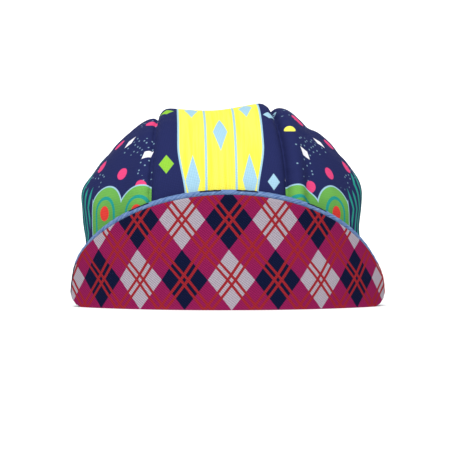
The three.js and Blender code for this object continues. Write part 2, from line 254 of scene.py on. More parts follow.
FINE_FOLDS = (
    Fold((-84, -44, 66), (-66, -70, 44), 3.2, 1.3),
    Fold((-80, -56, 58), (-72, -66, 22), 3.0, 1.2),
    Fold((82, -46, 66), (70, -66, 46), 3.2, 1.3),
    Fold((80, -54, 60), (74, -64, 24), 3.0, 1.2),
    Fold((-46, -60, 96), (-62, -46, 92), 3.4, 0.9),
    Fold((34, -58, 104), (52, -44, 100), 3.4, 0.9),
    Fold((86, 4, 62), (82, 34, 30), 4.0, 1.4),
    Fold((-88, 2, 60), (-82, 36, 28), 4.0, 1.4),
    Fold((30, 84, 40), (34, 86, 8), 3.0, 1.3),
    Fold((-42, 82, 42), (-40, 84, 8), 3.0, 1.3),
    Fold((62, 62, 50), (56, 66, 6), 3.6, 1.4),
    Fold((-62, 62, 52), (-58, 64, 6), 3.6, 1.4),
    Fold((86, -40, 20), (88, 4, 44), 3.6, 1.6),
    Fold((-88, -38, 24), (-89, 2, 48), 3.6, 1.6),
    Fold((85, -34, 8), (86, 22, 22), 3.2, 1.3),
    Fold((-85, -30, 10), (-85, 26, 20), 3.2, 1.3),
    Fold((88, 10, 52), (84, 44, 36), 4.0, 1.4),
    Fold((-88, 14, 54), (-84, 46, 34), 4.0, 1.4),
    Fold((80, 46, 60), (74, 56, 18), 4.2, 1.7),
    Fold((-80, 48, 58), (-72, 58, 16), 4.2, 1.7),
    Fold((70, -20, 92), (66, 30, 96), 5.0, 1.3),
    Fold((-72, -22, 90), (-68, 28, 94), 5.0, 1.3),
    Fold((56, 44, 92), (74, 18, 80), 4.0, 1.2),
    Fold((-58, 46, 90), (-76, 20, 78), 4.0, 1.2),
    Fold((-14, 88, 46), (-10, 86, 10), 4.0, 1.3),
    Fold((8, 88, 52), (12, 88, 14), 4.0, 1.3),
)


@dataclass(frozen=True)
class CapShape:
    """The cap's form, in millimetres: a superellipsoid dome over an upright wall that
    meets a rim given by its distance from the middle at every 20 degrees from the front.
    Trough, rise and drop shape the strip's lift, at the shoulder and on top."""

    crown_width: float = 172.6
    crown_height: float = 122.5
    front_reach: float = 85.0
    back_reach: float = 92.6
    crown_shift: float = -1.7
    shoulder_height: float = 53.0
    dome_power: float = 2.12
    wall_power: float = 1.7
    seam_gap: float = 0.4
    seam_turn: float = 1.0
    turn_reach_left: float = 1.4
    turn_reach_right: float = 2.6
    seam_tuck: float = 4.0
    tuck_depth: float = 1.9
    seam_start: float = 12.0
    strip_left: float = -43.0
    strip_right: float = 29.4
    strip_trough: tuple[float, float] = (1.2, -2.2)
    strip_rise: tuple[float, float] = (2.8, 8)
    strip_drop: tuple[float, float] = (3.6, 5.8)
    strip_drop_power: int = 18
    strip_edge_radius: float = 1.1
    strip_edge_depth: float = 0.9
    flare_wall: float = 2.4
    flare_top: float = -3.5
    flare_start: float = 62.0
    flare_reach: float = 30.0
    puff_left: float = 1.2
    puff_right: float = 4.3
    puff_reach: float = 6.5
    gather_count: int = 7
    gather_depth: float = 3.2
    gather_height: float = 46.0
    gather_fade: float = 9.0
    gather_power: float = 1.6
    elastic_half_turn: float = 38.0
    rim_step: float = 20.0
    rim_halvings: int = 40
    rim_radii: tuple[float, ...] = (90.4, 91.5, 94.9, 98.0, 86.6, 83.8, 83.0, 82.5, 80.6, 79.0)
    hem_height: float = 8.0
    hem_swell: float = 0.45
    hem_edge: tuple[float, float] = (-0.6, 0.8)
    hem_groove: float = 0.5
    hem_groove_half: float = 0.7
    seam_radius: float = 95.0
    seam_centre_height: float = 20.0
    pucker: float = 0.32
    pucker_pitch: float = 9.0
    pucker_reach: float = 4.5
    pucker_sway: float = 0.9
    pucker_sway_run: float = 13.0
    waves: Waves = Waves(seed=11, height=0.5, shortest=26, longest=70)
    pleats: Pleats = Pleats()

    @property
    def half_width(self) -> float:
        """Half the crown's width."""
        return self.crown_width / 2

    @property
    def roof_height(self) -> float:
        """From the shoulder to the top of the bare dome."""
        return self.crown_height - self.shoulder_height

    @property
    def strip_middle(self) -> float:
        """The x of the strip's middle line."""
        return (self.strip_left + self.strip_right) / 2

    @property
    def strip_half(self) -> float:
        """Half the strip's width."""
        return (self.strip_right - self.strip_left) / 2

    def seam_x(self, side: Side) -> float:
        """The x of the seam on one side."""
        return self.strip_right if side is Side.RIGHT else self.strip_left

    def rim_radius(self, turn: Array) -> Array:
        """The rim's distance from the middle, smoothly through the rows of its table.

        Args:
            turn: Angles from the front, in degrees.

        Returns:
            The distances in millimetres.
        """
        radii = np.array(self.rim_radii)
        last = len(radii) - 1
        along = (180 - np.abs(180 - np.abs(turn))) / self.rim_step
        at = np.minimum(np.floor(along).astype(int), last - 1)

        def radius(row: Array) -> Array:
            """The radius of a row, mirrored past either end of the table."""
            row = np.abs(row)
            return radii[np.where(row > last, 2 * last - row, row)]

        a, b, c, d = (radius(at + step) for step in (-1, 0, 1, 2))
        t = along - at
        bend = 2 * a - 5 * b + 4 * c - d + t * (3 * (b - c) + d - a)
        return b + 0.5 * t * (c - a + t * bend)

    def rim_point(self, turn: Array) -> Array:
        """Points of the rim, seen from above.

        Args:
            turn: Angles from the front, in degrees.

        Returns:
            The x and y of each point.
        """
        angle = np.radians(turn)
        radius = self.rim_radius(turn)
        return np.stack([np.sin(angle) * radius, -np.cos(angle) * radius], axis=-1)

    def rim_turn_at(self, x: Array, at_front: bool) -> Array:
        """The angles at which the rim crosses given x, at the front or at the back.

        Args:
            x: The places across the cap.
            at_front: Whether the front is meant.

        Returns:
            Angles from the front, in degrees, with the sign of x.
        """
        x = np.asarray(x, float)
        inner, outer = (0.0, 60.0) if at_front else (180.0, 120.0)
        low, high = np.full(x.shape, inner), np.full(x.shape, outer)
        for _ in range(self.rim_halvings):
            middle = (low + high) / 2
            short = self.rim_point(middle)[..., 0] < np.abs(x)
            low, high = np.where(short, middle, low), np.where(short, high, middle)
        return low * np.sign(x)

    def reach_at(self, y: Array) -> Array:
        """The dome's reach from its middle line towards the front or the back."""
        return np.where(np.asarray(y) < 0, self.front_reach, self.back_reach)

    def roof_normal(self, p: Array) -> Array:
        """The way out of the bare dome at points on its roof.

        Args:
            p: Points in millimetres.

        Returns:
            A vector of length 1 for each point.
        """
        sizes = (self.half_width, self.reach_at(p[..., 1]), self.roof_height)
        above = np.maximum(0, p[..., 2] - self.shoulder_height)
        offs = (p[..., 0] - self.crown_shift, p[..., 1], above)
        slopes = [
            np.sign(off) * np.abs(off / size) ** (self.dome_power - 1) / size
            for off, size in zip(offs, sizes)
        ]
        return unit(np.stack(slopes, axis=-1))

    def wall(self, shoulder: Array, rim: Array, heights: Array) -> tuple[Array, Array]:
        """Points of the upright wall and the way out at each.

        Args:
            shoulder: The wall's upper points seen from above, one for each column.
            rim: Its lower points, likewise.
            heights: The height of each row.

        Returns:
            Places and ways out, rows by columns.
        """
        share = (((self.shoulder_height - heights) / self.shoulder_height) ** self.wall_power)[:, None]
        x = blend(shoulder[:, 0], rim[:, 0], share)
        y = blend(shoulder[:, 1], rim[:, 1], share)
        top = self.roof_normal(point(shoulder[:, 0], shoulder[:, 1], self.shoulder_height))
        bottom = unit(point(rim[:, 0], rim[:, 1], 0))
        out = unit(blend(top, bottom, 0.5 * share[..., None]))
        return point(x, y, heights[:, None]), out

    def gathers(self, p: Array) -> Array:
        """The pleats that the elastic draws up at the back of the rim.

        Args:
            p: Points in millimetres.

        Returns:
            A length for each point.
        """
        x, y, z = np.moveaxis(p, -1, 0)
        turn = np.degrees(np.arctan2(np.abs(x), y))
        at = np.pi * turn / self.elastic_half_turn
        drawn = (y > 0) & (z < self.gather_height) & (turn < self.elastic_half_turn)
        low = np.clip(1 - z / self.gather_height, 0, 1)
        fade = smooth(self.elastic_half_turn - turn, 0, self.gather_fade) * low**self.gather_power
        main = self.gather_depth * (0.5 + 0.5 * np.cos(self.gather_count * at))
        return np.where(drawn, main * fade, 0) + self.pleats.lift(np.degrees(np.arctan2(x, y)), z)

    def soft_folds(self, p: Array) -> Array:
        """All folds, gathers and slow waves at points of the crown."""
        folds = sum(fold.lift(p) for fold in MAIN_FOLDS + FINE_FOLDS)
        return folds + self.gathers(p) + self.waves.lift(p)

    def puckers(self, p: Array, from_seam: Array) -> Array:
        """The small even ripples that the sewing leaves beside a seam.

        Args:
            p: Points in millimetres.
            from_seam: How far each point is from the seam.

        Returns:
            A length for each point.
        """
        run = self.seam_radius * np.arctan2(p[..., 2] - self.seam_centre_height, -p[..., 1])
        sway = self.pucker_sway * np.sin(run / self.pucker_sway_run)
        ripple = np.sin(2 * np.pi * run / self.pucker_pitch + sway)
        return self.pucker * np.exp(-np.abs(from_seam) / self.pucker_reach) * ripple

    def hem(self, z: Array) -> Array:
        """The doubled cloth at the rim and the groove that its stitches pull in.

        Args:
            z: Heights above the rim.

        Returns:
            A length for each height.
        """
        low, high = (self.hem_height + off for off in self.hem_edge)
        swell = self.hem_swell * (1 - smooth(z, low, high))
        return swell - self.hem_groove * np.exp(-(((z - self.hem_height) / self.hem_groove_half) ** 2))

    def strip_lift(self, p: Array) -> Array:
        """How far the strip stands out from the bare dome: a shallow trough whose edges
        rise and then turn down into the seams.

        Args:
            p: Points of the bare dome.

        Returns:
            A length for each point.
        """
        across = np.abs(p[..., 0] - self.strip_middle) / self.strip_half
        up_top = smooth(p[..., 2], self.shoulder_height, self.crown_height)
        ends = (self.strip_trough, self.strip_rise, self.strip_drop)
        middle, rise, drop = (blend(low, high, up_top) for low, high in ends)
        lift = middle + rise * across**2 - drop * across**self.strip_drop_power
        from_edge = self.strip_half * (1 - across)
        turned = self.strip_edge_depth * rounded_edge(from_edge, self.strip_edge_radius)
        fine = self.puckers(p, from_edge) - turned + self.hem(p[..., 2])
        off_rim = smooth(p[..., 2], self.seam_start, self.shoulder_height)
        return off_rim * lift + self.soft_folds(p) + fine

    def side_lift(self, p: Array, side: Side) -> Array:
        """How far a side panel stands out from the bare dome, or in under the strip.

        Args:
            p: Points of the bare dome.
            side: Which panel.

        Returns:
            A length for each point.
        """
        from_seam = side.value * (p[..., 0] - self.seam_x(side)) - self.seam_turn
        on_right = side is Side.RIGHT
        size = self.puff_right if on_right else self.puff_left
        turn = self.turn_reach_right if on_right else self.turn_reach_left
        past = np.maximum(from_seam, 0)
        reach = past / self.puff_reach
        puff = size * reach * np.exp((1 - reach**2) / 2)
        off_rim = smooth(p[..., 2], self.seam_start, self.shoulder_height)
        lift = off_rim * puff - self.tuck_depth * np.exp(-past / turn)
        fine = self.puckers(p, past) + self.hem(p[..., 2])
        return np.where(from_seam < 0, -self.tuck_depth, lift + fine) + self.soft_folds(p)

    def flared(self, p: Array) -> Array:
        """The points moved sideways, so that the strip is wider low down than on top.

        Args:
            p: Points in millimetres.

        Returns:
            The moved points.
        """
        across = p[..., 0] - self.strip_middle
        past = np.abs(across) - self.strip_half
        follows = 1 - smooth(past, 0, self.flare_reach)
        share = np.where(past < 0, np.abs(across) / self.strip_half, follows)
        up = np.clip((p[..., 2] - self.flare_start) / (self.crown_height - self.flare_start), 0, 1)
        flare = blend(self.flare_wall, self.flare_top, up * up)
        flare = flare * smooth(p[..., 2], 0, self.shoulder_height)
        return point(p[..., 0] + np.sign(across) * share * flare, p[..., 1], p[..., 2])

    def wall_radius(self, turn: Array, z: Array) -> Array:
        """The wall's distance from the middle, by angle in degrees and height.

        Args:
            turn: Angles from the front, in degrees.
            z: Heights up to the shoulder.

        Returns:
            The distances in millimetres.
        """
        across, along = np.sin(np.radians(turn)), -np.cos(np.radians(turn))
        side = self.half_width + np.sign(across) * self.crown_shift
        power = self.dome_power
        total = np.abs(across / side) ** power + np.abs(along / self.reach_at(along)) ** power
        shoulder = total ** (-1 / power)
        share = ((self.shoulder_height - z) / self.shoulder_height) ** self.wall_power
        return blend(shoulder, self.rim_radius(turn), share)


# Making and finishing meshes


def select_only(piece: Piece | None = None) -> None:
    """Leaves one piece selected and active, or nothing.

    Args:
        piece: The piece, or None to deselect everything.
    """
    bpy.ops.object.select_all(action="DESELECT")
    if piece is not None:
        piece.select_set(True)
        bpy.context.view_layer.objects.active = piece


def edit_all(piece: Piece, operator: Callable[..., object], **settings: object) -> None:
    """Runs a mesh operator on all of a piece in edit mode.

    Args:
        piece: The piece to edit.
        operator: The operator.
        settings: The operator's own settings.
    """
    select_only(piece)
    bpy.ops.object.mode_set(mode="EDIT")
    bpy.ops.mesh.select_all(action="SELECT")
    operator(**settings)
    bpy.ops.object.mode_set(mode="OBJECT")


def cloth_sheet(name: str, points: Array, prints: Array, scatter: Array | None = None) -> Piece:
    """A flat grid whose vertices are moved to a sheet of cloth.

    Args:
        name: The piece's name.
        points: Rows by columns of places in millimetres.
        prints: Rows by columns of places on the flat cloth, for its print.
        scatter: The same for motifs that are strewn over the cloth, if it has any.

    Returns:
        The piece, with those places in its UV maps, in metres.
    """
    rows, columns = points.shape[:2]
    select_only()
    bpy.ops.mesh.primitive_grid_add(x_subdivisions=columns - 1, y_subdivisions=rows - 1, size=1)
    piece = bpy.context.object
    piece.name = piece.data.name = name
    mesh = piece.data
    start = np.empty(3 * len(mesh.vertices))
    mesh.vertices.foreach_get("co", start)
    start = start.reshape(-1, 3) + 0.5
    column = np.rint(start[:, 0] * (columns - 1)).astype(int)
    row = np.rint(start[:, 1] * (rows - 1)).astype(int)
    mesh.vertices.foreach_set("co", (points[row, column] * MM).ravel())
    corner = np.empty(len(mesh.loops), int)
    mesh.loops.foreach_get("vertex_index", corner)
    mesh.uv_layers.active.name = "print"
    maps = {"print": prints}
    if scatter is not None:
        mesh.uv_layers.new(name="scatter")
        maps["scatter"] = scatter
    for label, places in maps.items():
        flat = places[row[corner], column[corner]] * MM
        mesh.uv_layers[label].data.foreach_set("uv", flat.ravel())
    mesh.update()
    return piece


def face_away(piece: Piece, centre: tuple[float, float, float]) -> None:
    """Turns a sheet's faces so that they look away from a point given in millimetres.

    Args:
        piece: The sheet.
        centre: The point that lies behind its faces.
    """
    mesh = piece.data
    normals, centres = np.empty((2, 3 * len(mesh.polygons)))
    mesh.polygons.foreach_get("normal", normals)
    mesh.polygons.foreach_get("center", centres)
    outward = centres.reshape(-1, 3) - np.array(centre) * MM
    if np.sum(normals.reshape(-1, 3) * outward) < 0:
        edit_all(piece, bpy.ops.mesh.flip_normals)


def apply_modifier(piece: Piece, kind: str, **settings: object) -> None:
    """Adds a modifier with its settings and applies it.

    Args:
        piece: The piece to change.
        kind: The modifier's type.
        settings: Its settings by name.
    """
    modifier = piece.modifiers.new(kind.lower(), kind)
    for name, value in settings.items():
        setattr(modifier, name, value)
    select_only(piece)
    bpy.ops.object.modifier_apply(modifier=modifier.name)


def thicken(piece: Piece, thickness: float, inside_slot: int = 0) -> None:
    """Gives a sheet its thickness, inwards.

    Args:
        piece: The sheet.
        thickness: Its thickness in millimetres.
        inside_slot: The number of the material of its inner face.
    """
    apply_modifier(
        piece,
        "SOLIDIFY",
        thickness=thickness * MM,
        offset=-1,
        use_rim=True,
        material_offset=inside_slot,
        material_offset_rim=0,
    )


def rest_on_floor(piece: Piece) -> None:
    """Lifts the vertices that a piece's thickness has pushed below the floor.

    Args:
        piece: The piece to mend.
    """
    vertices = piece.data.vertices
    places = np.empty(3 * len(vertices))
    vertices.foreach_get("co", places)
    places[2::3] = np.maximum(places[2::3], 0)
    vertices.foreach_set("co", places)
    piece.data.update()


def smooth_faces(piece: Piece, degrees: float = 40) -> None:
    """Shades a piece smooth, but for edges sharper than an angle."""
    select_only(piece)
    bpy.ops.object.shade_smooth_by_angle(angle=math.radians(degrees))


def finish_piece(piece: Piece, slot: str, *nodes: str) -> None:
    """Hangs a piece on the cap's body, in the place of the nodes that it stands for.

    Args:
        piece: The finished piece.
        slot: The record's material slot; not used.
        nodes: The nodes that it replaces.
    """
    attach(piece, BODY)
    if nodes:
        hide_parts(*nodes)
    LOG.info("%s: %d faces", piece.name, len(piece.data.polygons))


# Shader maths


class Expr:
    """A number in a shader; arithmetic on it adds the Math nodes."""

    def __init__(self, shader: "Shader", socket: bpy.types.NodeSocket) -> None:
        """Wraps an output socket of a shader's node."""
        self.shader = shader
        self.socket = socket

    def join(self, operation: str, *values: "Expr | float", clamp: bool = False) -> "Expr":
        """The result of a Math node on the given values.

        Args:
            operation: What the node works out.
            values: Its inputs in order.
            clamp: Whether the result is held between 0 and 1.

        Returns:
            The node's output.
        """
        settings = {"operation": operation, "use_clamp": clamp}
        made = self.shader.node("ShaderNodeMath", settings, dict(enumerate(values)))
        return Expr(self.shader, made.outputs[0])

    def __add__(self, other: "Expr | float") -> "Expr":
        """self + other."""
        return self.join("ADD", self, other)

    def __radd__(self, other: float) -> "Expr":
        """other + self."""
        return self.join("ADD", other, self)

    def __sub__(self, other: "Expr | float") -> "Expr":
        """self - other."""
        return self.join("SUBTRACT", self, other)

    def __rsub__(self, other: float) -> "Expr":
        """other - self."""
        return self.join("SUBTRACT", other, self)

    def __mul__(self, other: "Expr | float") -> "Expr":
        """self * other."""
        return self.join("MULTIPLY", self, other)

    def __rmul__(self, other: float) -> "Expr":
        """other * self."""
        return self.join("MULTIPLY", other, self)

    def __truediv__(self, other: "Expr | float") -> "Expr":
        """self / other."""
        return self.join("DIVIDE", self, other)

    def __abs__(self) -> "Expr":
        """The value without its sign."""
        return self.join("ABSOLUTE", self)

    def floor(self) -> "Expr":
        """The whole number below."""
        return self.join("FLOOR", self)

    def fract(self) -> "Expr":
        """What is left above the whole number below."""
        return self.join("FRACT", self)

    def sine(self) -> "Expr":
        """The sine of an angle in radians."""
        return self.join("SINE", self)

    def root(self) -> "Expr":
        """The square root."""
        return self.join("SQRT", self)

    def at_least(self, other: "Expr | float") -> "Expr":
        """The larger of two values."""
        return self.join("MAXIMUM", self, other)

    def at_most(self, other: "Expr | float") -> "Expr":
        """The smaller of two values."""
        return self.join("MINIMUM", self, other)

    def above(self, other: "Expr | float") -> "Expr":
        """1 where the value is above another, else 0."""
        return self.join("GREATER_THAN", self, other)

    def clamped(self) -> "Expr":
        """The value held between 0 and 1."""
        return self.join("ADD", self, 0.0, clamp=True)


def inside(distance: Expr, blur: float = 0.3) -> Expr:
    """1 where a signed distance in millimetres is below zero, blurred across its edge."""
    return (0.5 - distance * (1 / blur)).clamped()


def centred(value: Expr, pitch: float) -> Expr:
    """How far a value is from the middle of its repeat."""
    return ((value * (1 / pitch)).fract() - 0.5) * pitch


def length(across: Expr, up: Expr) -> Expr:
    """The length of a vector on the cloth."""
    return (across * across + up * up).root()


def diamond(across: Expr, up: Expr, half_width: float, half_height: float) -> Expr:
    """The signed distance from a diamond's outline.

    Args:
        across: How far a place is from the diamond's middle, along its width.
        up: The same along its height.
        half_width: Half its width.
        half_height: Half its height.

    Returns:
        The distance in millimetres, below zero inside.
    """
    slope = math.hypot(1 / half_width, 1 / half_height)
    share = abs(across) * (1 / half_width) + abs(up) * (1 / half_height)
    return (share - 1) * (1 / slope)


Colour = tuple[float, float, float, float]


def paint(red: int, green: int, blue: int) -> Colour:
    """A display colour as the linear colour that a shader takes.

    Args:
        red: The display's red, in steps of 0 to 255.
        green: Its green.
        blue: Its blue.

    Returns:
        The linear colour, opaque.
    """

    def linear(step: int) -> float:
        """One part of the colour on the linear scale."""
        value = step / 255
        return value / 12.92 if value <= 0.04045 else ((value + 0.055) / 1.055) ** 2.4

    return (linear(red), linear(green), linear(blue), 1.0)


@dataclass(frozen=True)
class Palette:
    """The dyes of the cap's prints, with painted shade in the darker green and painted
    highlights in the paler roll blue.
    """

    navy: Colour = paint(36, 42, 87)
    deep_navy: Colour = paint(15, 21, 52)
    yellow: Colour = paint(240, 237, 96)
    warm_yellow: Colour = paint(238, 226, 68)
    sky: Colour = paint(158, 199, 219)
    roll_blue: Colour = paint(76, 106, 160)
    # Paler blue: painted highlights in streaks on the roll, and its random mottle.
    roll_highlight_mottle: Colour = paint(122, 150, 190)
    green: Colour = paint(110, 176, 82)
    # Darker green: painted shade low on the scallops, and their random mottle.
    shade_and_mottle_green: Colour = paint(64, 128, 66)
    lime: Colour = paint(140, 196, 62)
    teal: Colour = paint(40, 154, 140)
    pink: Colour = paint(226, 70, 124)
    coral: Colour = paint(228, 66, 58)
    red: Colour = paint(150, 36, 44)
    magenta: Colour = paint(139, 27, 80)
    white: Colour = paint(238, 238, 244)
    cloth_white: Colour = paint(169, 160, 171)
    thread: Colour = paint(30, 32, 72)
    near_black: Colour = paint(26, 27, 36)


DYES = Palette()


@dataclass(frozen=True)
class Finish:
    """How a cloth's surface takes the light. The slant is the across and the up part of
    the way that crosses a twill's lines, the main and cross shares are how much each set
    of threads stands out, and lint is the fluff in the cloth. The shade is painted shade:
    how much darker the colour is painted in the gaps between the threads."""

    weave: Weave
    pitch: float
    relief: float
    shade: float = 0.06
    roughness: float = 0.88
    sheen: float = 0.0
    sheen_roughness: float = 0.5
    specular: float = 0.04
    slant: tuple[float, float] = (0.6, 0.8)
    main_share: float = 0.38
    cross_share: float = 0.12
    cross_turns: float = 0.7
    lint_scale: float = 0.11
    lint_strength: float = 0.08


PRINTED = Finish(Weave.MESH, pitch=1.4, relief=0.08, shade=0.2)
PEAK_TWILL = Finish(Weave.TWILL, pitch=1.15, relief=0.18, shade=0.36, roughness=0.92)
ROLL_TWILL = Finish(Weave.TWILL, pitch=1.5, relief=0.14, shade=0.22, roughness=0.8, specular=0.2)
REVERSE = Finish(Weave.PLAIN, pitch=0.6, relief=0.08, roughness=0.92)
COTTON = Finish(Weave.BRUSHED, pitch=0.9, relief=0.14, roughness=0.95, sheen=0.15)
ELASTIC = Finish(
    Weave.RIBBED, pitch=0.9, relief=0.16, roughness=0.7, specular=0.2, main_share=0.4, cross_share=0.1
)


class Shader:
    """A material under construction, with the print's map as its coordinates."""

    def __init__(self, name: str) -> None:
        """Starts a material from its one shader node.

        Args:
            name: The material's name.
        """
        self.material = bpy.data.materials.new(name)
        self.material.use_nodes = True
        self.tree = self.material.node_tree
        self.surface = self.tree.nodes["Principled BSDF"]
        self.across, self.up = self.places("print")

    def places(self, uv_map: str) -> tuple[Expr, Expr]:
        """The two coordinates of a UV map.

        Args:
            uv_map: The map's name.

        Returns:
            The places across and up the cloth, in millimetres.
        """
        place = self.node("ShaderNodeUVMap", {"uv_map": uv_map})
        parts = self.node("ShaderNodeSeparateXYZ", {}, {0: place.outputs[0]})
        return Expr(self, parts.outputs[0]) * (1 / MM), Expr(self, parts.outputs[1]) * (1 / MM)

    def node(
        self,
        kind: str,
        settings: dict[str, object] | None = None,
        values: dict[int | str, object] | None = None,
    ) -> bpy.types.Node:
        """Adds a node.

        Args:
            kind: The node's type.
            settings: Its own settings, which are set first.
            values: A value, socket or expression for each input that isn't left as it is.

        Returns:
            The node.
        """
        made = self.tree.nodes.new(kind)
        for name, value in (settings or {}).items():
            setattr(made, name, value)
        for name, value in (values or {}).items():
            self.feed(made.inputs[name], value)
        return made

    def feed(self, socket: bpy.types.NodeSocket, value: object) -> None:
        """Links or sets an input socket.

        Args:
            socket: The input.
            value: A number, colour, socket or expression.
        """
        if isinstance(value, Expr):
            value = value.socket
        if isinstance(value, bpy.types.NodeSocket):
            self.tree.links.new(value, socket)
        else:
            socket.default_value = value

    def mix(self, mask: Expr, under: object, over: object) -> bpy.types.NodeSocket:
        """One colour over another where a mask is 1."""
        values = {0: mask, 6: under, 7: over}
        return self.node("ShaderNodeMix", {"data_type": "RGBA"}, values).outputs[2]

    def shaded(self, colour: object, shade: Expr) -> bpy.types.NodeSocket:
        """A colour made darker by a share from 0 to 1."""
        return self.mix(shade, colour, (0.0, 0.0, 0.0, 1.0))

    def vector(self, across: Expr | float, up: Expr | float, third: Expr | float = 0.0) -> object:
        """A vector from three numbers."""
        return self.node("ShaderNodeCombineXYZ", {}, {0: across, 1: up, 2: third}).outputs[0]

    def noise(self, across: Expr, up: Expr, scale: float, detail: float = 2.0) -> Expr:
        """Smooth noise from 0 to 1 over the cloth."""
        values = {"Vector": self.vector(across, up), "Scale": scale, "Detail": detail}
        return Expr(self, self.node("ShaderNodeTexNoise", {}, values).outputs[0])

    def chance(self, column: Expr, row: Expr, draw: Draw) -> Expr:
        """A number from 0 to 1 that is the same all over one cell of a grid."""
        values = {0: self.vector(column, row, draw.value)}
        return Expr(self, self.node("ShaderNodeTexWhiteNoise", {}, values).outputs[0])

    def threads(self, finish: Finish) -> Expr:
        """The height of a weave's threads.

        Args:
            finish: The cloth's finish.

        Returns:
            A number from 0 in the gaps to 1 on the threads.
        """
        turn = 2 * math.pi / finish.pitch
        slant_across, slant_up = finish.slant
        falling = ((self.across * slant_across + self.up * slant_up) * turn).sine()
        rising = ((self.up * slant_across - self.across * slant_up) * turn).sine()
        if finish.weave is Weave.TWILL:
            return falling * finish.main_share + rising * finish.cross_share + 0.5
        if finish.weave is Weave.MESH:
            return falling * rising * 0.5 + 0.5
        if finish.weave is Weave.PLAIN:
            return (self.across * turn).sine() * (self.up * turn).sine() * 0.5 + 0.5
        if finish.weave is Weave.RIBBED:
            ribs = (self.across * turn).sine() * finish.main_share
            return ribs + (self.up * (turn * finish.cross_turns)).sine() * finish.cross_share + 0.5
        return self.noise(self.across, self.up, 1 / finish.pitch, 4)

    def dress(self, colour: object, finish: Finish) -> bpy.types.Material:
        """Sends a colour and a weave to the surface.

        Args:
            colour: The print's colour, a socket or one colour all over.
            finish: The cloth's finish.

        Returns:
            The finished material.
        """
        threads = self.threads(finish)
        lint = self.noise(self.across, self.up, finish.lint_scale, 3)
        # Painted shade: the colour is painted darker in the gaps between the threads; the lint adds
        # random darker tone.
        shade = (1 - threads) * finish.shade + abs(lint - 0.5) * finish.lint_strength
        roughness = lint * finish.lint_strength + (finish.roughness - finish.lint_strength / 2)
        self.feed(self.surface.inputs["Base Color"], self.shaded(colour, shade))
        self.feed(self.surface.inputs["Roughness"], roughness)
        self.surface.inputs["Specular IOR Level"].default_value = finish.specular
        self.surface.inputs["Sheen Weight"].default_value = finish.sheen
        self.surface.inputs["Sheen Roughness"].default_value = finish.sheen_roughness
        values = {"Height": threads, "Strength": 1.0, "Distance": finish.relief * MM}
        bump = self.node("ShaderNodeBump", {}, values)
        self.feed(self.surface.inputs["Normal"], bump.outputs[0])
        return self.material


def plain_cloth(name: str, colour: Colour, finish: Finish) -> bpy.types.Material:
    """A cloth of one dye."""
    return Shader(name).dress(colour, finish)


@dataclass(frozen=True)
class StripPrint:
    """A yellow stripe with pinlines and long diamonds between navy margins; it narrows
    towards the peak."""

    middle: float = 1.5
    half_width: float = 24.0
    narrowing: float = 4.6
    narrow_at: float = 60.0
    wide_at: float = 98.0
    border: float = 1.1
    pinline_at: float = 8.6
    pinline_half: float = 0.65
    long_half_width: float = 4.2
    long_half_height: float = 17.0
    long_pitch: float = 74.0
    small_half_width: float = 4.4
    small_half_height: float = 6.2
    small_pitch: float = 58.0
    left_margin: float = -30.0
    left_start: float = 2.0
    right_margin: float = 31.4
    right_start: float = 14.0
    right_size: float = 0.8
    streak_scale: tuple[float, float] = (0.55, 0.02)
    streak_from: float = 0.42
    streak_contrast: float = 4.0

    def material(self) -> bpy.types.Material:
        """The strip's printed cloth.

        Returns:
            The finished material.
        """
        shader = Shader("strip_print")
        off = shader.across - self.middle
        up = shader.up
        scale_across, scale_up = self.streak_scale
        streak = shader.noise(shader.across * scale_across, up * scale_up, 1.0, 3)
        warm = ((streak - self.streak_from) * self.streak_contrast).clamped()
        yellow = shader.mix(warm, DYES.yellow, DYES.warm_yellow)
        longs = diamond(off, centred(up, self.long_pitch), self.long_half_width, self.long_half_height)
        beside = abs(off) - (self.half_width + self.pinline_at) / 2
        half_way = centred(up + self.long_pitch / 2, self.long_pitch)
        side_longs = diamond(beside, half_way, self.long_half_width, self.long_half_height)
        pinlines = abs(abs(off) - self.pinline_at) - self.pinline_half
        marks = inside(longs.at_most(side_longs)).at_least(inside(pinlines))
        stripe = shader.mix(marks, yellow, DYES.sky)
        share = ((up - self.narrow_at) * (1 / (self.wide_at - self.narrow_at))).clamped()
        eased = share * share * (3 - share * 2)
        outline = abs(off) - self.half_width + (1 - eased) * self.narrowing
        left = diamond(
            shader.across - self.left_margin,
            centred(up + self.left_start, self.small_pitch),
            self.small_half_width,
            self.small_half_height,
        )
        right = diamond(
            shader.across - self.right_margin,
            centred(up + self.right_start, self.small_pitch),
            self.right_size * self.small_half_width,
            self.right_size * self.small_half_height,
        )
        colour = shader.mix(inside(left), DYES.navy, DYES.lime)
        colour = shader.mix(inside(right), colour, DYES.sky)
        colour = shader.mix(inside(outline - self.border), colour, DYES.sky)
        colour = shader.mix(inside(outline), colour, stripe)
        return shader.dress(colour, PRINTED)


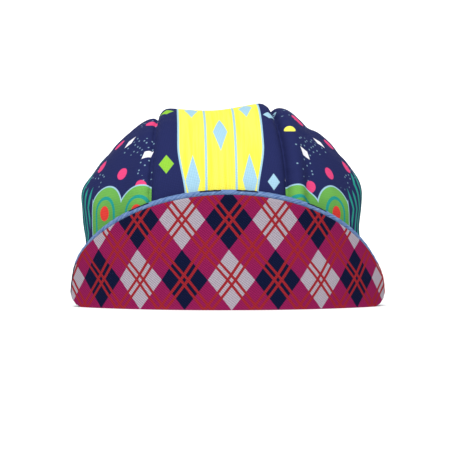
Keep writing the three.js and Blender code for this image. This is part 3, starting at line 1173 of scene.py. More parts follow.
@dataclass(frozen=True)
class SidePrint:
    """Navy with a border of green scallops at each end, upright teal zigzags between
    them and small confetti above. The scallops' green is painted darker towards the rim as painted shade,
    and is mottled at random."""

    panel_length: float
    scallop_pitch: float = 29.0
    scallop_radius: float = 15.6
    scallop_height: float = 56.0
    scallop_foot: float = 22.0
    scallop_reach: float = 58.0
    outline: float = 0.9
    ring_inset: float = 6.6
    ring_half: float = 1.0
    ring_margin: float = 2.4
    core_radius: float = 4.4
    painted_shade_fall: float = 46.0
    painted_shade_most: float = 0.7
    patch_scale: float = 0.05
    patch_strength: float = 0.5
    zigzag_foot: float = 16.0
    zigzag_top: float = 84.0
    zigzag_spread: float = 14.0
    zigzag_pitch: float = 7.5
    zigzag_half: float = 1.5
    zigzag_fall: float = 30.0
    zigzag_slope: float = 0.45
    zigzag_gap: float = 4.0
    tip_slope: float = 2.4
    confetti_from: float = 11.5
    confetti_width: float = 21.0
    confetti_height: float = 17.0
    drift_across: float = 8.0
    drift_up: float = 5.0
    pink_radius: float = 3.7
    white_half_width: float = 2.8
    white_half_height: float = 4.4
    yellow_radius: float = 2.7
    sky_ring_radius: float = 2.8
    sky_ring_half: float = 0.55
    teal_half_width: float = 2.2
    teal_half_height: float = 5.2
    dust_pitch: float = 3.4
    dust_radius: float = 0.42
    dust_jitter: float = 2.0
    dust_patch_scale: float = 0.045
    dust_contrast: float = 6.0
    dust_least: float = 0.05
    dust_fade: float = 12.0
    dust_strength: float = 0.7

    def scallops(self, shader: Shader, colour: object) -> object:
        """Paints the scallops over a colour.

        Args:
            shader: The material under construction.
            colour: What lies under them.

        Returns:
            The painted colour.
        """
        along = abs(shader.across - self.panel_length / 2) * -1 + self.panel_length / 2
        rise = (shader.up - self.scallop_height).at_least(0.0)
        arch = length(centred(along, self.scallop_pitch), rise) - self.scallop_radius
        ends = (along - self.scallop_reach).at_least(self.scallop_foot - shader.up)
        outline = inside(arch - self.outline) * inside(ends - self.outline)
        green = inside(arch) * inside(ends)
        patch = shader.noise(shader.across, shader.up, self.patch_scale, 2) - 0.5
        # Painted shade: the green is painted darker towards the rim; the noise patches add random mottle.
        below_top = self.scallop_height + self.scallop_radius - shader.up
        low = (below_top * (1 / self.painted_shade_fall)).clamped()
        shade_and_mottle = (low * self.painted_shade_most + patch * self.patch_strength).clamped()
        body = shader.mix(shade_and_mottle, DYES.green, DYES.shade_and_mottle_green)
        ring = inside(abs(arch + self.ring_inset) - self.ring_half) * inside(ends + self.ring_margin)
        from_core = length(centred(along, self.scallop_pitch), shader.up - self.scallop_height)
        core = inside(from_core - self.core_radius)
        body = shader.mix(ring, body, DYES.teal)
        body = shader.mix(core, body, DYES.coral)
        return shader.mix(green, shader.mix(outline, colour, DYES.sky), body)

    def zigzags(self, shader: Shader, colour: object) -> object:
        """Paints the upright zigzags over a colour, each with its own height.

        Args:
            shader: The material under construction.
            colour: What lies under them.

        Returns:
            The painted colour.
        """
        along = abs(shader.across - self.panel_length / 2)
        swing = abs(centred(shader.up, self.zigzag_fall)) * self.zigzag_slope
        off_line = abs(centred(along + swing, self.zigzag_pitch))
        line = off_line - self.zigzag_half
        number = ((along + swing) * (1 / self.zigzag_pitch)).floor()
        shorter = shader.chance(number, number, Draw.ZIGZAG_REACH) * self.zigzag_spread
        tips = shader.up + off_line * self.tip_slope - (self.zigzag_top - shorter)
        feet = self.zigzag_foot - shader.up + off_line * self.tip_slope
        past_last = along + self.scallop_reach + self.zigzag_gap - self.panel_length / 2
        ends = past_last.at_least(feet.at_least(tips))
        return shader.mix(inside(line) * inside(ends), colour, DYES.teal)

    def confetti(self, shader: Shader, colour: object) -> object:
        """Paints small discs, rings and diamonds over a colour, one to each cell.

        Args:
            shader: The material under construction.
            colour: What lies under them.

        Returns:
            The painted colour.
        """
        strewn_across, strewn_up = shader.places("scatter")
        strewn_up = strewn_up - self.confetti_from
        row = (strewn_up * (1 / self.confetti_height)).floor()
        shifted = strewn_across + row * (0.5 * self.confetti_width)
        column = (shifted * (1 / self.confetti_width)).floor()
        across = centred(shifted, self.confetti_width)
        up = centred(strewn_up, self.confetti_height)
        across = across + (shader.chance(column, row, Draw.MARK_ACROSS) - 0.5) * self.drift_across
        up = up + (shader.chance(column, row, Draw.MARK_UP) - 0.5) * self.drift_up
        kind = shader.chance(column, row, Draw.MARK_KIND)
        away = length(across, up)
        white_outline = diamond(across, up, self.white_half_width, self.white_half_height)
        teal_outline = diamond(across, up, self.teal_half_width, self.teal_half_height)
        # The share of the cells from which and up to which a mark is chosen, its outline and its dye
        marks = (
            (0.00, 0.28, away - self.pink_radius, DYES.pink),
            (0.28, 0.50, white_outline, DYES.white),
            (0.50, 0.70, away - self.yellow_radius, DYES.yellow),
            (0.70, 0.86, abs(away - self.sky_ring_radius) - self.sky_ring_half, DYES.sky),
            (0.86, 1.01, teal_outline, DYES.teal),
        )
        for low, high, outline, dye in marks:
            chosen = kind.above(low - 0.001) * (1 - kind.above(high - 0.001))
            colour = shader.mix(inside(outline) * chosen * row.above(-0.5), colour, dye)
        return colour

    def dust(self, shader: Shader, colour: object) -> object:
        """Paints drifts of fine pale dots over a colour.

        Args:
            shader: The material under construction.
            colour: What lies under them.

        Returns:
            The painted colour.
        """
        strewn_across, strewn_up = shader.places("scatter")
        row = (strewn_up * (1 / self.dust_pitch)).floor()
        column = (strewn_across * (1 / self.dust_pitch)).floor()
        across = centred(strewn_across, self.dust_pitch)
        across = across + (shader.chance(column, row, Draw.DOT_ACROSS) - 0.5) * self.dust_jitter
        up = centred(strewn_up, self.dust_pitch)
        up = up + (shader.chance(column, row, Draw.DOT_UP) - 0.5) * self.dust_jitter
        patch = shader.noise(strewn_across, strewn_up, self.dust_patch_scale, 2) - 0.5
        drift = (patch * self.dust_contrast).clamped()
        shown = drift.above(shader.chance(column, row, Draw.DOT_SHOWN) + self.dust_least)
        high = inside(self.scallop_height + self.scallop_radius - shader.up, blur=self.dust_fade)
        dots = inside(length(across, up) - self.dust_radius, blur=0.5)
        return shader.mix(dots * shown * high * self.dust_strength, colour, DYES.sky)

    def material(self) -> bpy.types.Material:
        """The side panels' printed cloth.

        Returns:
            The finished material.
        """
        shader = Shader("side_print")
        colour = self.confetti(shader, self.dust(shader, DYES.navy))
        colour = self.zigzags(shader, colour)
        return shader.dress(self.scallops(shader, colour), PRINTED)


@dataclass(frozen=True)
class ArgylePrint:
    """Magenta, navy and white diamonds under crossing red double pinstripes."""

    half_width: float = 13.2
    half_height: float = 17.0
    stripe_at: float = 1.7
    stripe_half: float = 0.75

    def material(self) -> bpy.types.Material:
        """The printed twill of the peak's underside.

        Returns:
            The finished material.
        """
        shader = Shader("argyle_print")
        side, rise = shader.across * (0.5 / self.half_width), shader.up * (0.5 / self.half_height)
        first, second = rise + side, rise - side
        scale = 2 / math.hypot(1 / self.half_width, 1 / self.half_height)

        def odd(value: Expr) -> Expr:
            """1 in every second whole step, else 0."""
            return (value * 0.5).fract().above(0.5)

        odd_first, odd_second = odd(first), odd(second)
        colour = shader.mix(odd_first * odd_second, DYES.magenta, DYES.deep_navy)
        colour = shader.mix((1 - odd_first) * (1 - odd_second), colour, DYES.cloth_white)
        for way in (first, second):
            from_middle = abs(way.fract() - 0.5) * scale
            stripe = inside(abs(from_middle - self.stripe_at) - self.stripe_half)
            colour = shader.mix(stripe, colour, DYES.red)
        return shader.dress(colour, PEAK_TWILL)


@dataclass(frozen=True)
class RollPrint:
    """Light blue with paler slanting streaks of painted highlight and random paler patches,
    short navy bars along its top, one navy end and one red."""

    run: float
    bar_pitch: float = 41.0
    bar_half: float = 6.0
    bar_reach: float = 1.9
    end_length: float = 26.0
    streak_pitch: float = 3.2
    streak_slant: float = 1.4
    highlight_streak_strength: float = 0.2
    patch_scale: tuple[float, float] = (0.3, 0.5)
    patch_strength: float = 1.6
    highlight_base_share: float = 0.42

    def material(self) -> bpy.types.Material:
        """The printed cloth of the peak's rolled edge.

        Returns:
            The finished material.
        """
        shader = Shader("roll_print")
        from_middle = abs(shader.across - self.run / 2)
        # Painted highlight: paler blue in slanting streaks stands for light on the twisted cloth; the
        # noise patches add random paler and darker tone, and pale carries both.
        slanting = shader.across + shader.up * self.streak_slant
        streak = (slanting * (2 * math.pi / self.streak_pitch)).sine() * self.highlight_streak_strength
        scale_across, scale_up = self.patch_scale
        patch = shader.noise(shader.across * scale_across, shader.up * scale_up, 1.0, 3) - 0.5
        pale = (streak + patch * self.patch_strength + self.highlight_base_share).clamped()
        bar = abs(centred(from_middle + self.bar_pitch / 4, self.bar_pitch)) - self.bar_half
        on_back = inside(abs(shader.up) - self.bar_reach)
        colour = shader.mix(pale, DYES.roll_blue, DYES.roll_highlight_mottle)
        colour = shader.mix(inside(bar) * on_back, colour, DYES.deep_navy)
        colour = shader.mix(inside(shader.across - self.end_length), colour, DYES.deep_navy)
        red_end = inside(self.run - self.end_length - shader.across)
        return shader.dress(shader.mix(red_end, colour, DYES.red), ROLL_TWILL)


# The cap's sub-assemblies


@dataclass
class Crown:
    """The middle strip and the two side panels, each one sheet of cloth."""

    shape: CapShape
    thickness: float = 1.1
    strip_columns: int = 104
    strip_wall_rows: int = 60
    strip_roof_rows: int = 170
    side_columns: int = 190
    side_wall_rows: int = 60
    side_roof_rows: int = 76
    edge_crowding: float = 0.35
    end_crowding: float = 0.05
    hem_crowding: float = 1.3
    seam_crowding: float = 1.6
    rim_steps: int = 900
    shoulder_steps: int = 1200
    middle: tuple[float, float, float] = (0, 0, 40)
    scatter_radius: float = 88.0
    scatter_rise: float = 0.45

    def heights(self, rows: int) -> Array:
        """The wall's rows, closer together near the rim, where the hem is."""
        return np.linspace(0, 1, rows + 1) ** self.hem_crowding * self.shape.shoulder_height

    def strip_sheet(self) -> tuple[Array, Array]:
        """The strip before its lift.

        Returns:
            Places and ways out, from the front rim over the top to the back one.
        """
        shape = self.shape
        s = np.linspace(-1, 1, self.strip_columns + 1)
        reach = shape.strip_half - shape.seam_gap / 2
        x = shape.strip_middle + reach * s * (1 + self.edge_crowding * (1 - s * s))
        q = remainder((x - shape.crown_shift) / shape.half_width, shape.dome_power)
        heights = self.heights(self.strip_wall_rows)

        def wall(at_front: bool) -> tuple[Array, Array]:
            """The strip's upright stretch at the front or at the back.

            Args:
                at_front: Whether it is the one at the front.

            Returns:
                Places and ways out, from the rim up.
            """
            reach = -shape.front_reach if at_front else shape.back_reach
            rim = shape.rim_point(shape.rim_turn_at(x, at_front))
            return shape.wall(np.stack([x, q * reach], -1), np.stack([x, rim[:, 1]], -1), heights)

        t = np.linspace(0, np.pi, self.strip_roof_rows + 1)[:, None]
        forward = np.abs(np.cos(t)) ** (2 / shape.dome_power) * np.sign(np.cos(t))
        y = -q * forward * shape.reach_at(-forward)
        z = shape.shoulder_height + shape.roof_height * q * np.sin(t) ** (2 / shape.dome_power)
        roof = point(x, y, z)
        front, back = wall(True), wall(False)
        place = np.concatenate([front[0][:-1], roof, back[0][-2::-1]])
        out = np.concatenate([front[1][:-1], shape.roof_normal(roof), back[1][-2::-1]])
        out[..., 0] = 0
        return place, unit(out)

    def side_sheet(self, side: Side) -> tuple[Array, Array, Array]:
        """One side panel's places and ways out, and its print's places.

        Args:
            side: Which panel.

        Returns:
            Places, ways out and places on the flat cloth, from the rim up and from the
            front seam round to the back one.
        """
        shape = self.shape
        edge = side.value * (shape.seam_x(side) - side.value * shape.seam_tuck)
        inset = edge - side.value * shape.crown_shift
        along = np.linspace(0, 1, self.side_columns + 1)
        share = along - self.end_crowding * np.sin(2 * np.pi * along)
        shoulder_line = self.shoulder_line(inset)
        shoulder = on_curve(shoulder_line, share)
        first, last = shape.rim_turn_at(edge, True), shape.rim_turn_at(edge, False)
        turns = np.linspace(first, last, self.rim_steps)
        rim = on_curve(shape.rim_point(turns), share) * (side.value, 1)
        x = side.value * shoulder[:, 0] + shape.crown_shift
        wall = shape.wall(np.stack([x, shoulder[:, 1]], -1), rim, self.heights(self.side_wall_rows))
        power = 2 / shape.dome_power
        q = remainder(shoulder[:, 1] / shape.reach_at(shoulder[:, 1]), shape.dome_power)
        reach = np.maximum(shape.half_width * q, 1e-6)
        seam_angle = np.arccos(np.clip(inset / reach, 0, 1) ** (1 / power))
        t = np.linspace(0, 1, self.side_roof_rows + 1)[1:, None]
        angle = seam_angle * (1 - (1 - t) ** self.seam_crowding)
        across = np.maximum(inset, reach * np.cos(angle) ** power)
        z = shape.shoulder_height + shape.roof_height * q * np.sin(angle) ** power
        roof = point(side.value * across + shape.crown_shift, shoulder[:, 1], z)
        place = np.concatenate([wall[0], roof])
        out = np.concatenate([wall[1], shape.roof_normal(roof)])
        from_edge = side.value * place[..., 0] - edge
        out[..., 0] *= smooth(from_edge, shape.seam_tuck, 3 * shape.seam_tuck)
        run = share * run_length(shoulder_line)[-1]
        prints = np.stack([np.broadcast_to(run, place.shape[:2]), run_length(place)], axis=-1)
        return place, unit(out), prints

    def shoulder_line(self, seam: float) -> Array:
        """One side's shoulder seen from above.

        Args:
            seam: How far the seam is from the crown's middle.

        Returns:
            The x and y of close points, from the front seam round to the back one.
        """
        shape = self.shape
        left_over = remainder(seam / shape.half_width, shape.dome_power)
        front, back = (left_over * shape.reach_at(way) * way for way in (-1, 1))
        y = blend(front, back, 0.5 - 0.5 * np.cos(np.linspace(0, np.pi, self.shoulder_steps)))
        x = shape.half_width * remainder(y / shape.reach_at(y), shape.dome_power)
        return np.stack([np.maximum(seam, x), y], axis=-1)

    def scatter(self, place: Array, side: Side) -> Array:
        """Places on the cloth laid flat round the middle of a side panel, where motifs
        keep their shape nearly all over.

        Args:
            place: Points of the panel.
            side: Which panel.

        Returns:
            Two lengths for each point: towards the back and up.
        """
        shape = self.shape
        sizes = (shape.half_width, (shape.front_reach + shape.back_reach) / 2, self.scatter_radius)
        ways = unit((place - (shape.crown_shift, 0, shape.shoulder_height / 2)) / sizes)
        pole = unit(np.array([side.value, 0, self.scatter_rise]))
        back = np.array([0.0, 1.0, 0.0])
        rise = unit(np.array([-side.value * self.scatter_rise, 0, 1.0]))
        away = np.arccos(np.clip(ways @ pole, -1, 1))
        stretch = self.scatter_radius * away / np.maximum(np.sin(away), 1e-6)
        return np.stack([ways @ back * stretch, ways @ rise * stretch], axis=-1)

    def panel(self, name: str, place: Array, lifted: Array, *prints: Array) -> Piece:
        """A panel of the crown as a sheet that stands on the floor.

        Args:
            name: The piece's name.
            place: Its points on the bare dome.
            lifted: The same points after their lift.
            prints: Its places on the flat cloth, once for each UV map.

        Returns:
            The piece, without its thickness.
        """
        lifted[..., 2] = np.where(place[..., 2] < 1e-6, 0, np.maximum(lifted[..., 2], 0))
        piece = cloth_sheet(name, self.shape.flared(lifted), *prints)
        face_away(piece, self.middle)
        return piece

    def build(self) -> None:
        """Makes the three panels and dresses them."""
        shape = self.shape
        reverse = plain_cloth("cloth_reverse", DYES.cloth_white, REVERSE)
        place, out = self.strip_sheet()
        lifted = place + out * shape.strip_lift(place)[..., None]
        gap = shape.seam_gap / 2
        lifted[..., 0] = np.clip(lifted[..., 0], shape.strip_left + gap, shape.strip_right - gap)
        run = run_length(place[:, self.strip_columns // 2])
        across = shape.flared(place)[..., 0] - shape.strip_middle
        prints = np.stack(np.broadcast_arrays(across, run[:, None]), -1)
        strip = self.panel("strip_cloth_panel", place, lifted, prints)
        self.dress(strip, StripPrint().material(), reverse, "strip_cloth", "crown_strip")
        side_material = None
        for side in (Side.LEFT, Side.RIGHT):
            place, out, prints = self.side_sheet(side)
            lifted = place + out * shape.side_lift(place, side)[..., None]
            tuck = shape.seam_x(side) - side.value * shape.seam_tuck
            lifted[..., 0] = side.value * np.maximum(side.value * lifted[..., 0], side.value * tuck)
            name = side.name.lower()
            scatter = self.scatter(place, side)
            panel = self.panel(f"side_cloth_panel_{name}", place, lifted, prints, scatter)
            if side_material is None:
                side_material = SidePrint(panel_length=float(prints[..., 0].max())).material()
            self.dress(panel, side_material, reverse, "side_cloth", f"crown_side_{name}")

    def dress(
        self, piece: Piece, face: bpy.types.Material, reverse: bpy.types.Material, slot: str, node: str
    ) -> None:
        """Gives a panel its two materials, its thickness and its place in the cap.

        Args:
            piece: The panel.
            face: The material of its outer face.
            reverse: The material of its inner face.
            slot: The record's material slot.
            node: The node that it replaces.
        """
        piece.data.materials.append(face)
        piece.data.materials.append(reverse)
        thicken(piece, self.thickness, inside_slot=1)
        rest_on_floor(piece)
        smooth_faces(piece)
        finish_piece(piece, slot, node)


@dataclass
class Peak:
    """The peak: a cloth on each face and the cloth rolled round its free edge."""

    front: float = -92.5
    width: float = 184.2
    height: float = 68.0
    plan_radius: float = 116.0
    half_thickness: float = 1.5
    lean: float = 2.0
    power: float = 2.06
    skew: float = -1.5
    skew_from: float = 14.0
    skew_to: float = 34.0
    widest_height: float = 8.4
    corner_width: float = 6.5
    corner_power: float = 1.6
    roll_top: float = 1.7
    roll_end: float = 0.55
    roll_depth: float = 1.65
    roll_thins: tuple[float, float] = (0.2, 0.85)
    roll_from: float = -0.34
    roll_to: float = 1.34
    roll_tip: float = 0.012
    roll_tip_size: float = 0.02
    cloth_over_roll: float = 0.55
    layer_gap: float = 0.25
    wall_loss: float = 0.3
    edge_radius: float = 1.9
    edge_bulge: float = 0.45
    bulge_reach: float = 2.5
    lower_edge_slope: float = 3.0
    lower_edge_start: float = 0.9
    wave_margin: float = 8.0
    row_crowding: float = 0.55
    cloth_columns: int = 230
    cloth_rows: int = 96
    roll_steps: int = 460
    roll_sides: int = 22
    ripple_pitch: float = 4.4
    ripple_height: float = 0.045
    waves: Waves = Waves(seed=5, height=0.16, shortest=24, longest=60)

    def top(self, x: Array, inset: float) -> Array:
        """The height of the upper outline, inset by a margin all round."""
        rise = self.height - self.widest_height - inset
        return self.widest_height + rise * remainder(x / (self.width / 2 - inset), self.power)

    def bottom(self, x: Array, inset: float) -> Array:
        """The height of the lower outline: straight, with rounded corners.

        Args:
            x: Places across the peak.
            inset: A margin all round.

        Returns:
            The heights.
        """
        past = (np.abs(x) - (self.width / 2 - inset - self.corner_width)) / self.corner_width
        rise = 1 - remainder(np.maximum(past, 0), self.corner_power)
        return np.where(past <= 0, 0, self.widest_height * rise)

    def place(self, x: Array, z: Array, forward: Array | float) -> Array:
        """Points of the peak on its curved middle layer, or off it.

        Args:
            x: Places across the peak laid flat.
            z: Heights.
            forward: How far the points are moved off the layer towards the front.

        Returns:
            The points.
        """
        radius = self.plan_radius + forward
        bend = np.arcsin(x / self.plan_radius)
        y = self.front + self.plan_radius - radius * np.cos(bend) + self.lean * smooth(z, 0, self.height)
        skew = self.skew * smooth(z, self.skew_from, self.skew_to)
        return point(radius * np.sin(bend) + skew, y, z)

    def roll_half(self, up: Array) -> Array:
        """Half the rolled edge's width, by how far up the outline it is, from 0 to 1."""
        return blend(self.roll_end, self.roll_top, smooth(up, *self.roll_thins))

    def cloth(self, name: str, forward: float, backs: float) -> Piece:
        """One face's cloth, its edge turned in against the other's.

        Args:
            name: The piece's name.
            forward: How far its visible face stands in front of the middle layer.
            backs: How far its edge turns back towards that layer.

        Returns:
            The piece, without its thickness.
        """
        reach = self.width / 2 - 2 * self.roll_end + self.cloth_over_roll
        s = np.linspace(-1, 1, self.cloth_columns + 1)
        x = (reach * np.sin(np.pi / 2 * s))[:, None]
        inset = 2 * self.roll_half(remainder(x / reach, 2)) - self.cloth_over_roll
        even = np.linspace(0, 1, self.cloth_rows + 1)
        crowded = 0.5 - 0.5 * np.cos(np.pi * even)
        low, high = self.bottom(x, inset), self.top(x, inset)
        z = blend(low, high, self.row_crowding * crowded + (1 - self.row_crowding) * even)
        slope = np.abs(np.gradient(high[:, 0], x[:, 0]))[:, None]
        from_lower = self.lower_edge_slope * (z - low) + self.lower_edge_start
        from_edge = np.minimum((high - z) / np.hypot(1, slope), from_lower)
        turned = rounded_edge(from_edge, self.edge_radius) * (backs / self.edge_radius)
        turned = turned - self.edge_bulge * np.exp(-from_edge / self.bulge_reach)
        waves = self.waves.lift(self.place(x + 0 * z, z, 0.0)) * smooth(from_edge, 0, self.wave_margin)
        off = forward - np.sign(forward) * turned + waves
        across = self.plan_radius * np.arcsin(x / self.plan_radius)
        prints = np.stack(np.broadcast_arrays(across, z), axis=-1)
        return cloth_sheet(name, self.place(x + 0 * z, z, off), prints)

    def roll_line(self, s: Array) -> tuple[Array, Array]:
        """The rolled edge's middle line seen from the front, from one lower corner over
        the top to the other.

        Args:
            s: Shares of the way, from 0 to 1.

        Returns:
            The places across the peak laid flat, and the heights.
        """
        angle = blend(self.roll_from, self.roll_to, s) * np.pi
        across, up = np.cos(angle), np.sin(angle)
        inset = self.roll_half(np.maximum(0, up))
        reach = self.width / 2 - inset
        low_x = reach - self.corner_width * (1 - np.abs(across) ** (2 / self.corner_power))
        low_z = self.widest_height * (1 - np.abs(up) ** (2 / self.corner_power))
        high_x = reach * np.abs(across) ** (2 / self.power)
        rise = self.height - self.widest_height - inset
        high_z = self.widest_height + rise * np.abs(up) ** (2 / self.power)
        x = -np.sign(across) * np.where(up < 0, low_x, high_x)
        return x, np.where(up < 0, low_z, high_z)

    def roll(self) -> tuple[Piece, float]:
        """The rolled edge as a closed tube.

        Returns:
            The piece, and its length along its middle line in millimetres.
        """
        s = np.linspace(0, 1, self.roll_steps + 1)
        x, z = self.roll_line(s)
        ahead, behind = self.roll_line(s + 1e-3), self.roll_line(s - 1e-3)
        way = unit(np.stack([ahead[0] - behind[0], ahead[1] - behind[1]], -1))
        run = run_length(np.stack([x, z], -1))
        around = np.linspace(-np.pi, np.pi, self.roll_sides + 1)
        up = np.maximum(0, np.sin(blend(self.roll_from, self.roll_to, s) * np.pi))
        ripple = 1 + self.ripple_height * np.sin(2 * np.pi * run[:, None] / self.ripple_pitch + around)
        tip = smooth(np.minimum(s, 1 - s), 0, self.roll_tip) + self.roll_tip_size
        closed = np.sqrt(np.clip(tip, 0, 1))[:, None]
        out = -self.roll_half(up)[:, None] * closed * ripple * np.cos(around)
        forward = self.roll_depth * closed * ripple * np.sin(around)
        tube = self.place(x[:, None] + way[:, 1:] * out, z[:, None] - way[:, :1] * out, forward)
        around_run = around * self.roll_top
        prints = np.stack(np.broadcast_arrays(run[:, None], around_run), axis=-1)
        piece = cloth_sheet("rolled_edge", tube, prints)
        edit_all(piece, bpy.ops.mesh.remove_doubles, threshold=0.01 * MM)
        edit_all(piece, bpy.ops.mesh.fill_holes, sides=0)
        edit_all(piece, bpy.ops.mesh.normals_make_consistent, inside=False)
        return piece, float(run[-1])

    def build(self) -> None:
        """Makes the peak's three pieces and dresses them."""
        inner_turn = self.half_thickness - self.layer_gap
        wall = self.half_thickness - self.wall_loss
        under = self.cloth("peak_underside_cloth", self.half_thickness, inner_turn)
        face_away(under, (0, 0, 30))
        under.data.materials.append(ArgylePrint().material())
        thicken(under, wall)
        upper = self.cloth("peak_topside_cloth", -self.half_thickness, inner_turn)
        face_away(upper, (0, -300, 30))
        upper.data.materials.append(plain_cloth("peak_navy", DYES.navy, PEAK_TWILL))
        thicken(upper, wall)
        roll, run = self.roll()
        roll.data.materials.append(RollPrint(run=run).material())
        for piece, slot, node in (
            (under, "peak_under_cloth", "peak_underside"),
            (upper, "side_cloth", "peak_topside"),
            (roll, "edge_cloth", "peak_rolled_edge"),
        ):
            smooth_faces(piece, 50)
            finish_piece(piece, slot, node)


@dataclass
class InnerBand:
    """The band inside the rim and the elastic that closes it at the back."""

    shape: CapShape
    height: float = 27.0
    thickness: float = 1.5
    clearance: float = 3.8
    rows: int = 22
    band_columns: int = 330
    elastic_columns: int = 420
    rib_pitch: float = 2.4
    rib_height: float = 0.32
    wall: float = 1.0
    off_middle: float = 0.25
    wave_height: float = 0.25
    wave_count: float = 23.0
    wave_slant: float = 0.12
    wave_from: float = 6.0
    edge_radius: float = 0.7
    edge_depth: float = 0.9
    end_gap: float = 0.3

    def sheet(self, name: str, start: float, end: float, columns: int, ribs: float) -> Piece:
        """A stretch of the band.

        Args:
            name: The piece's name.
            start: The angle from the front at which it starts, in degrees.
            end: The angle at which it ends.
            columns: How many columns of faces it has.
            ribs: How far its ribs stand out, or 0 for none.

        Returns:
            The piece, without its thickness.
        """
        turn = np.linspace(start, end, columns + 1)[:, None]
        z = np.linspace(0, self.height, self.rows + 1)
        across = np.radians(turn) * self.shape.rim_radii[-1]
        ripple = ribs * np.sin(2 * np.pi * across / self.rib_pitch)
        phase = np.radians(turn) * self.wave_count + self.wave_slant * z
        wave = self.wave_height * np.sin(phase) * smooth(z, self.wave_from, self.height)
        edge = rounded_edge(np.minimum(z, self.height - z), self.edge_radius) * self.edge_depth
        outer = self.shape.wall_radius(turn, z) - self.clearance
        radius = outer - self.thickness + self.off_middle + edge + ripple + wave
        angle = np.radians(turn)
        places = point(np.sin(angle) * radius, -np.cos(angle) * radius, z + 0 * turn)
        prints = np.stack(np.broadcast_arrays(across, z), axis=-1)
        return cloth_sheet(name, places, prints)

    def build(self) -> None:
        """Makes the band and the elastic and dresses them."""
        end = 180 - self.shape.elastic_half_turn
        half = end - self.end_gap
        band = self.sheet("sweatband_cloth", -half, half, self.band_columns, 0)
        elastic = self.sheet("elastic_web", end, 360 - end, self.elastic_columns, self.rib_height)
        for piece, dye, finish, slot, node in (
            (band, DYES.thread, COTTON, "band_cloth", "sweatband"),
            (elastic, DYES.near_black, ELASTIC, "elastic", "back_elastic"),
        ):
            face_away(piece, (0, 0, 12))
            edit_all(piece, bpy.ops.mesh.flip_normals)
            piece.data.materials.append(plain_cloth(f"{slot}_finish", dye, finish))
            thicken(piece, self.wall)
            smooth_faces(piece)
            finish_piece(piece, slot, node)


@dataclass
class Stitching:
    """A row of single stitches along the hem, each a short thread."""

    shape: CapShape
    stitch_length: float = 2.2
    stitch_pitch: float = 3.1
    thread: float = 0.24
    thread_rise: float = 0.9
    sides: int = 6
    rings: int = 6
    first_turn: float = 50.0
    last_turn: float = 310.0
    line_steps: int = 1600

    def one(self, name: str) -> Piece:
        """One stitch along x, made from a sphere stretched to a thread.

        Args:
            name: The piece's name.

        Returns:
            The stitch at the origin.
        """
        select_only()
        bpy.ops.mesh.primitive_uv_sphere_add(segments=self.sides, ring_count=self.rings, radius=1)
        piece = bpy.context.object
        piece.name = piece.data.name = name
        centre = (0, 0, 0)
        quarter = math.pi / 2
        edit_all(piece, bpy.ops.transform.rotate, value=quarter, orient_axis="Y", center_override=centre)
        size = (self.stitch_length / 2 * MM, self.thread * MM, self.thread * MM)
        edit_all(piece, bpy.ops.transform.resize, value=size, center_override=centre)
        return piece

    def row(self, name: str, path: Array, out: Array, slot: str, finish: bpy.types.Material) -> Piece:
        """A row of stitches, each copied from one.

        Args:
            name: The piece's name.
            path: The line of the stitches, as close points in millimetres.
            out: The way out of the cloth at each of those points.
            slot: The record's material slot.
            finish: The thread's material.

        Returns:
            The row as one piece.
        """
        run = run_length(path)
        count = int(run[-1] // self.stitch_pitch)
        at = (np.arange(count) + 0.5) / count * run[-1]

        def along(values: Array, where: Array) -> Array:
            """What a row of values has come to at given lengths along the path."""
            return np.stack([np.interp(where, run, axis) for axis in values.T], axis=-1)

        ways = unit(along(path, at + 0.5) - along(path, at - 0.5))
        outs = unit(along(out, at))
        third = unit(np.cross(ways, outs))
        turns = np.stack([ways, third, np.cross(third, ways) * -1], axis=1)
        piece = self.one(name)
        mesh = piece.data
        base = np.array([v.co for v in mesh.vertices])
        faces = [tuple(f.vertices) for f in mesh.polygons]
        spots = along(path, at) * MM
        points = np.concatenate([base @ turn + spot for turn, spot in zip(turns, spots)])
        index = [tuple(v + i * len(base) for v in face) for i in range(count) for face in faces]
        mesh.clear_geometry()
        mesh.from_pydata(points.tolist(), [], index)
        mesh.uv_layers.new(name="print")
        edit_all(piece, bpy.ops.mesh.normals_make_consistent, inside=False)
        piece.data.materials.append(finish)
        smooth_faces(piece, 80)
        finish_piece(piece, slot)
        return piece

    def hem_line(self) -> tuple[Array, Array]:
        """The line of the hem's stitches, all the way round behind the peak's ends.

        Returns:
            Close points on the cloth, and the way out at each.
        """
        shape = self.shape
        turn = np.linspace(self.first_turn, self.last_turn, self.line_steps)
        z = np.full_like(turn, shape.hem_height)
        radius = shape.wall_radius(turn, z)
        angle = np.radians(turn)
        out = point(np.sin(angle), -np.cos(angle), 0)
        place = point(np.sin(angle) * radius, -np.cos(angle) * radius, z)
        lift = shape.soft_folds(place) + shape.hem(z) + self.thread * self.thread_rise
        return place + out * lift[:, None], out

    def build(self) -> None:
        """Sews the hem."""
        navy = plain_cloth("navy_thread", DYES.thread, REVERSE)
        self.row("hem_stitches", *self.hem_line(), "side_cloth", navy)


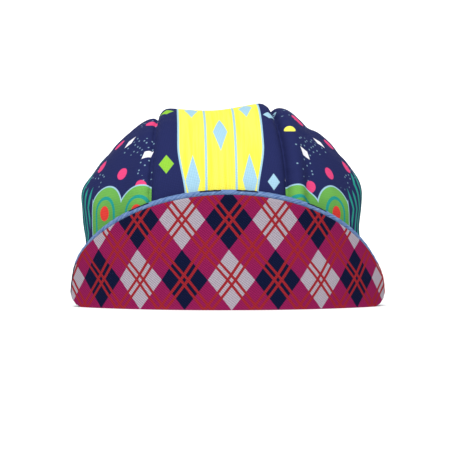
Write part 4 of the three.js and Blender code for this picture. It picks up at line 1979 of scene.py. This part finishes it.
@dataclass
class Studio:
    """The pale floor, the soft light and the camera, in metres."""

    eye: tuple[float, float, float] = (-0.0399, -0.9932, 0.048)
    turn: float = -2.3
    lens: float = 128.0
    floor_half: float = 4.0
    sweep_start: float = 2.2
    sweep_radius: float = 1.2
    wall_top: float = 3.5
    world_strength: float = 0.24
    floor_glow: float = 0.06
    light_from: tuple[float, float, float] = (-0.12, -0.75, 1.05)
    light_strength: float = 3.9
    light_spread: float = 32.0

    def floor(self) -> None:
        """A floor that sweeps up behind the cap."""
        run = np.linspace(-self.floor_half, self.sweep_start, 20)
        bend = np.linspace(0, np.pi / 2, 24)[1:]
        back = self.sweep_start + self.sweep_radius * np.sin(bend)
        y = np.concatenate([run, back, back[-1:]])
        z = np.concatenate([0 * run, self.sweep_radius * (1 - np.cos(bend)), [self.wall_top]])
        x = np.linspace(-self.floor_half, self.floor_half, 12)[:, None]
        places = point(x, y, z) / MM
        floor = cloth_sheet("floor", places, places[..., :2])
        face_away(floor, (0, 500, -3000))
        shader = Shader("floor_paint")
        shader.surface.inputs["Emission Color"].default_value = paint(255, 255, 255)
        shader.surface.inputs["Emission Strength"].default_value = self.floor_glow
        floor.data.materials.append(shader.dress(paint(246, 246, 247), REVERSE))
        smooth_faces(floor, 60)

    def light(self) -> None:
        """A broad soft light from the front and above."""
        data = bpy.data.lights.new("key", "SUN")
        data.energy = self.light_strength
        data.angle = math.radians(self.light_spread)
        lamp = bpy.data.objects.new("key", data)
        lamp.location = self.light_from
        lamp.rotation_euler = (-Vector(self.light_from)).to_track_quat("-Z", "Y").to_euler()
        bpy.context.scene.collection.objects.link(lamp)

    def camera(self) -> None:
        """The camera at the photograph's viewing angle."""
        data = bpy.data.cameras.new("camera")
        data.lens = self.lens
        data.sensor_width = 36.0
        data.clip_start = 0.02
        camera = bpy.data.objects.new("camera", data)
        camera.location = self.eye
        camera.rotation_euler = (math.pi / 2, 0, math.radians(self.turn))
        bpy.context.scene.collection.objects.link(camera)
        bpy.context.scene.camera = camera

    def build(self) -> None:
        """Sets up the studio."""
        self.floor()
        self.light()
        world = bpy.data.worlds.new("studio")
        world.use_nodes = True
        background = world.node_tree.nodes["Background"]
        background.inputs["Color"].default_value = (1, 1, 1, 1)
        background.inputs["Strength"].default_value = self.world_strength
        bpy.context.scene.world = world
        bpy.context.scene.view_settings.view_transform = "Standard"
        self.camera()


def main() -> None:
    """Loads the frame and builds the cap round it."""
    logging.basicConfig(level=logging.INFO, format="%(message)s")
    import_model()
    shape = CapShape()
    Studio().build()
    Crown(shape).build()
    Peak().build()
    InnerBand(shape).build()
    Stitching(shape).build()
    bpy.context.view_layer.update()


if __name__ == "__main__":
    main()
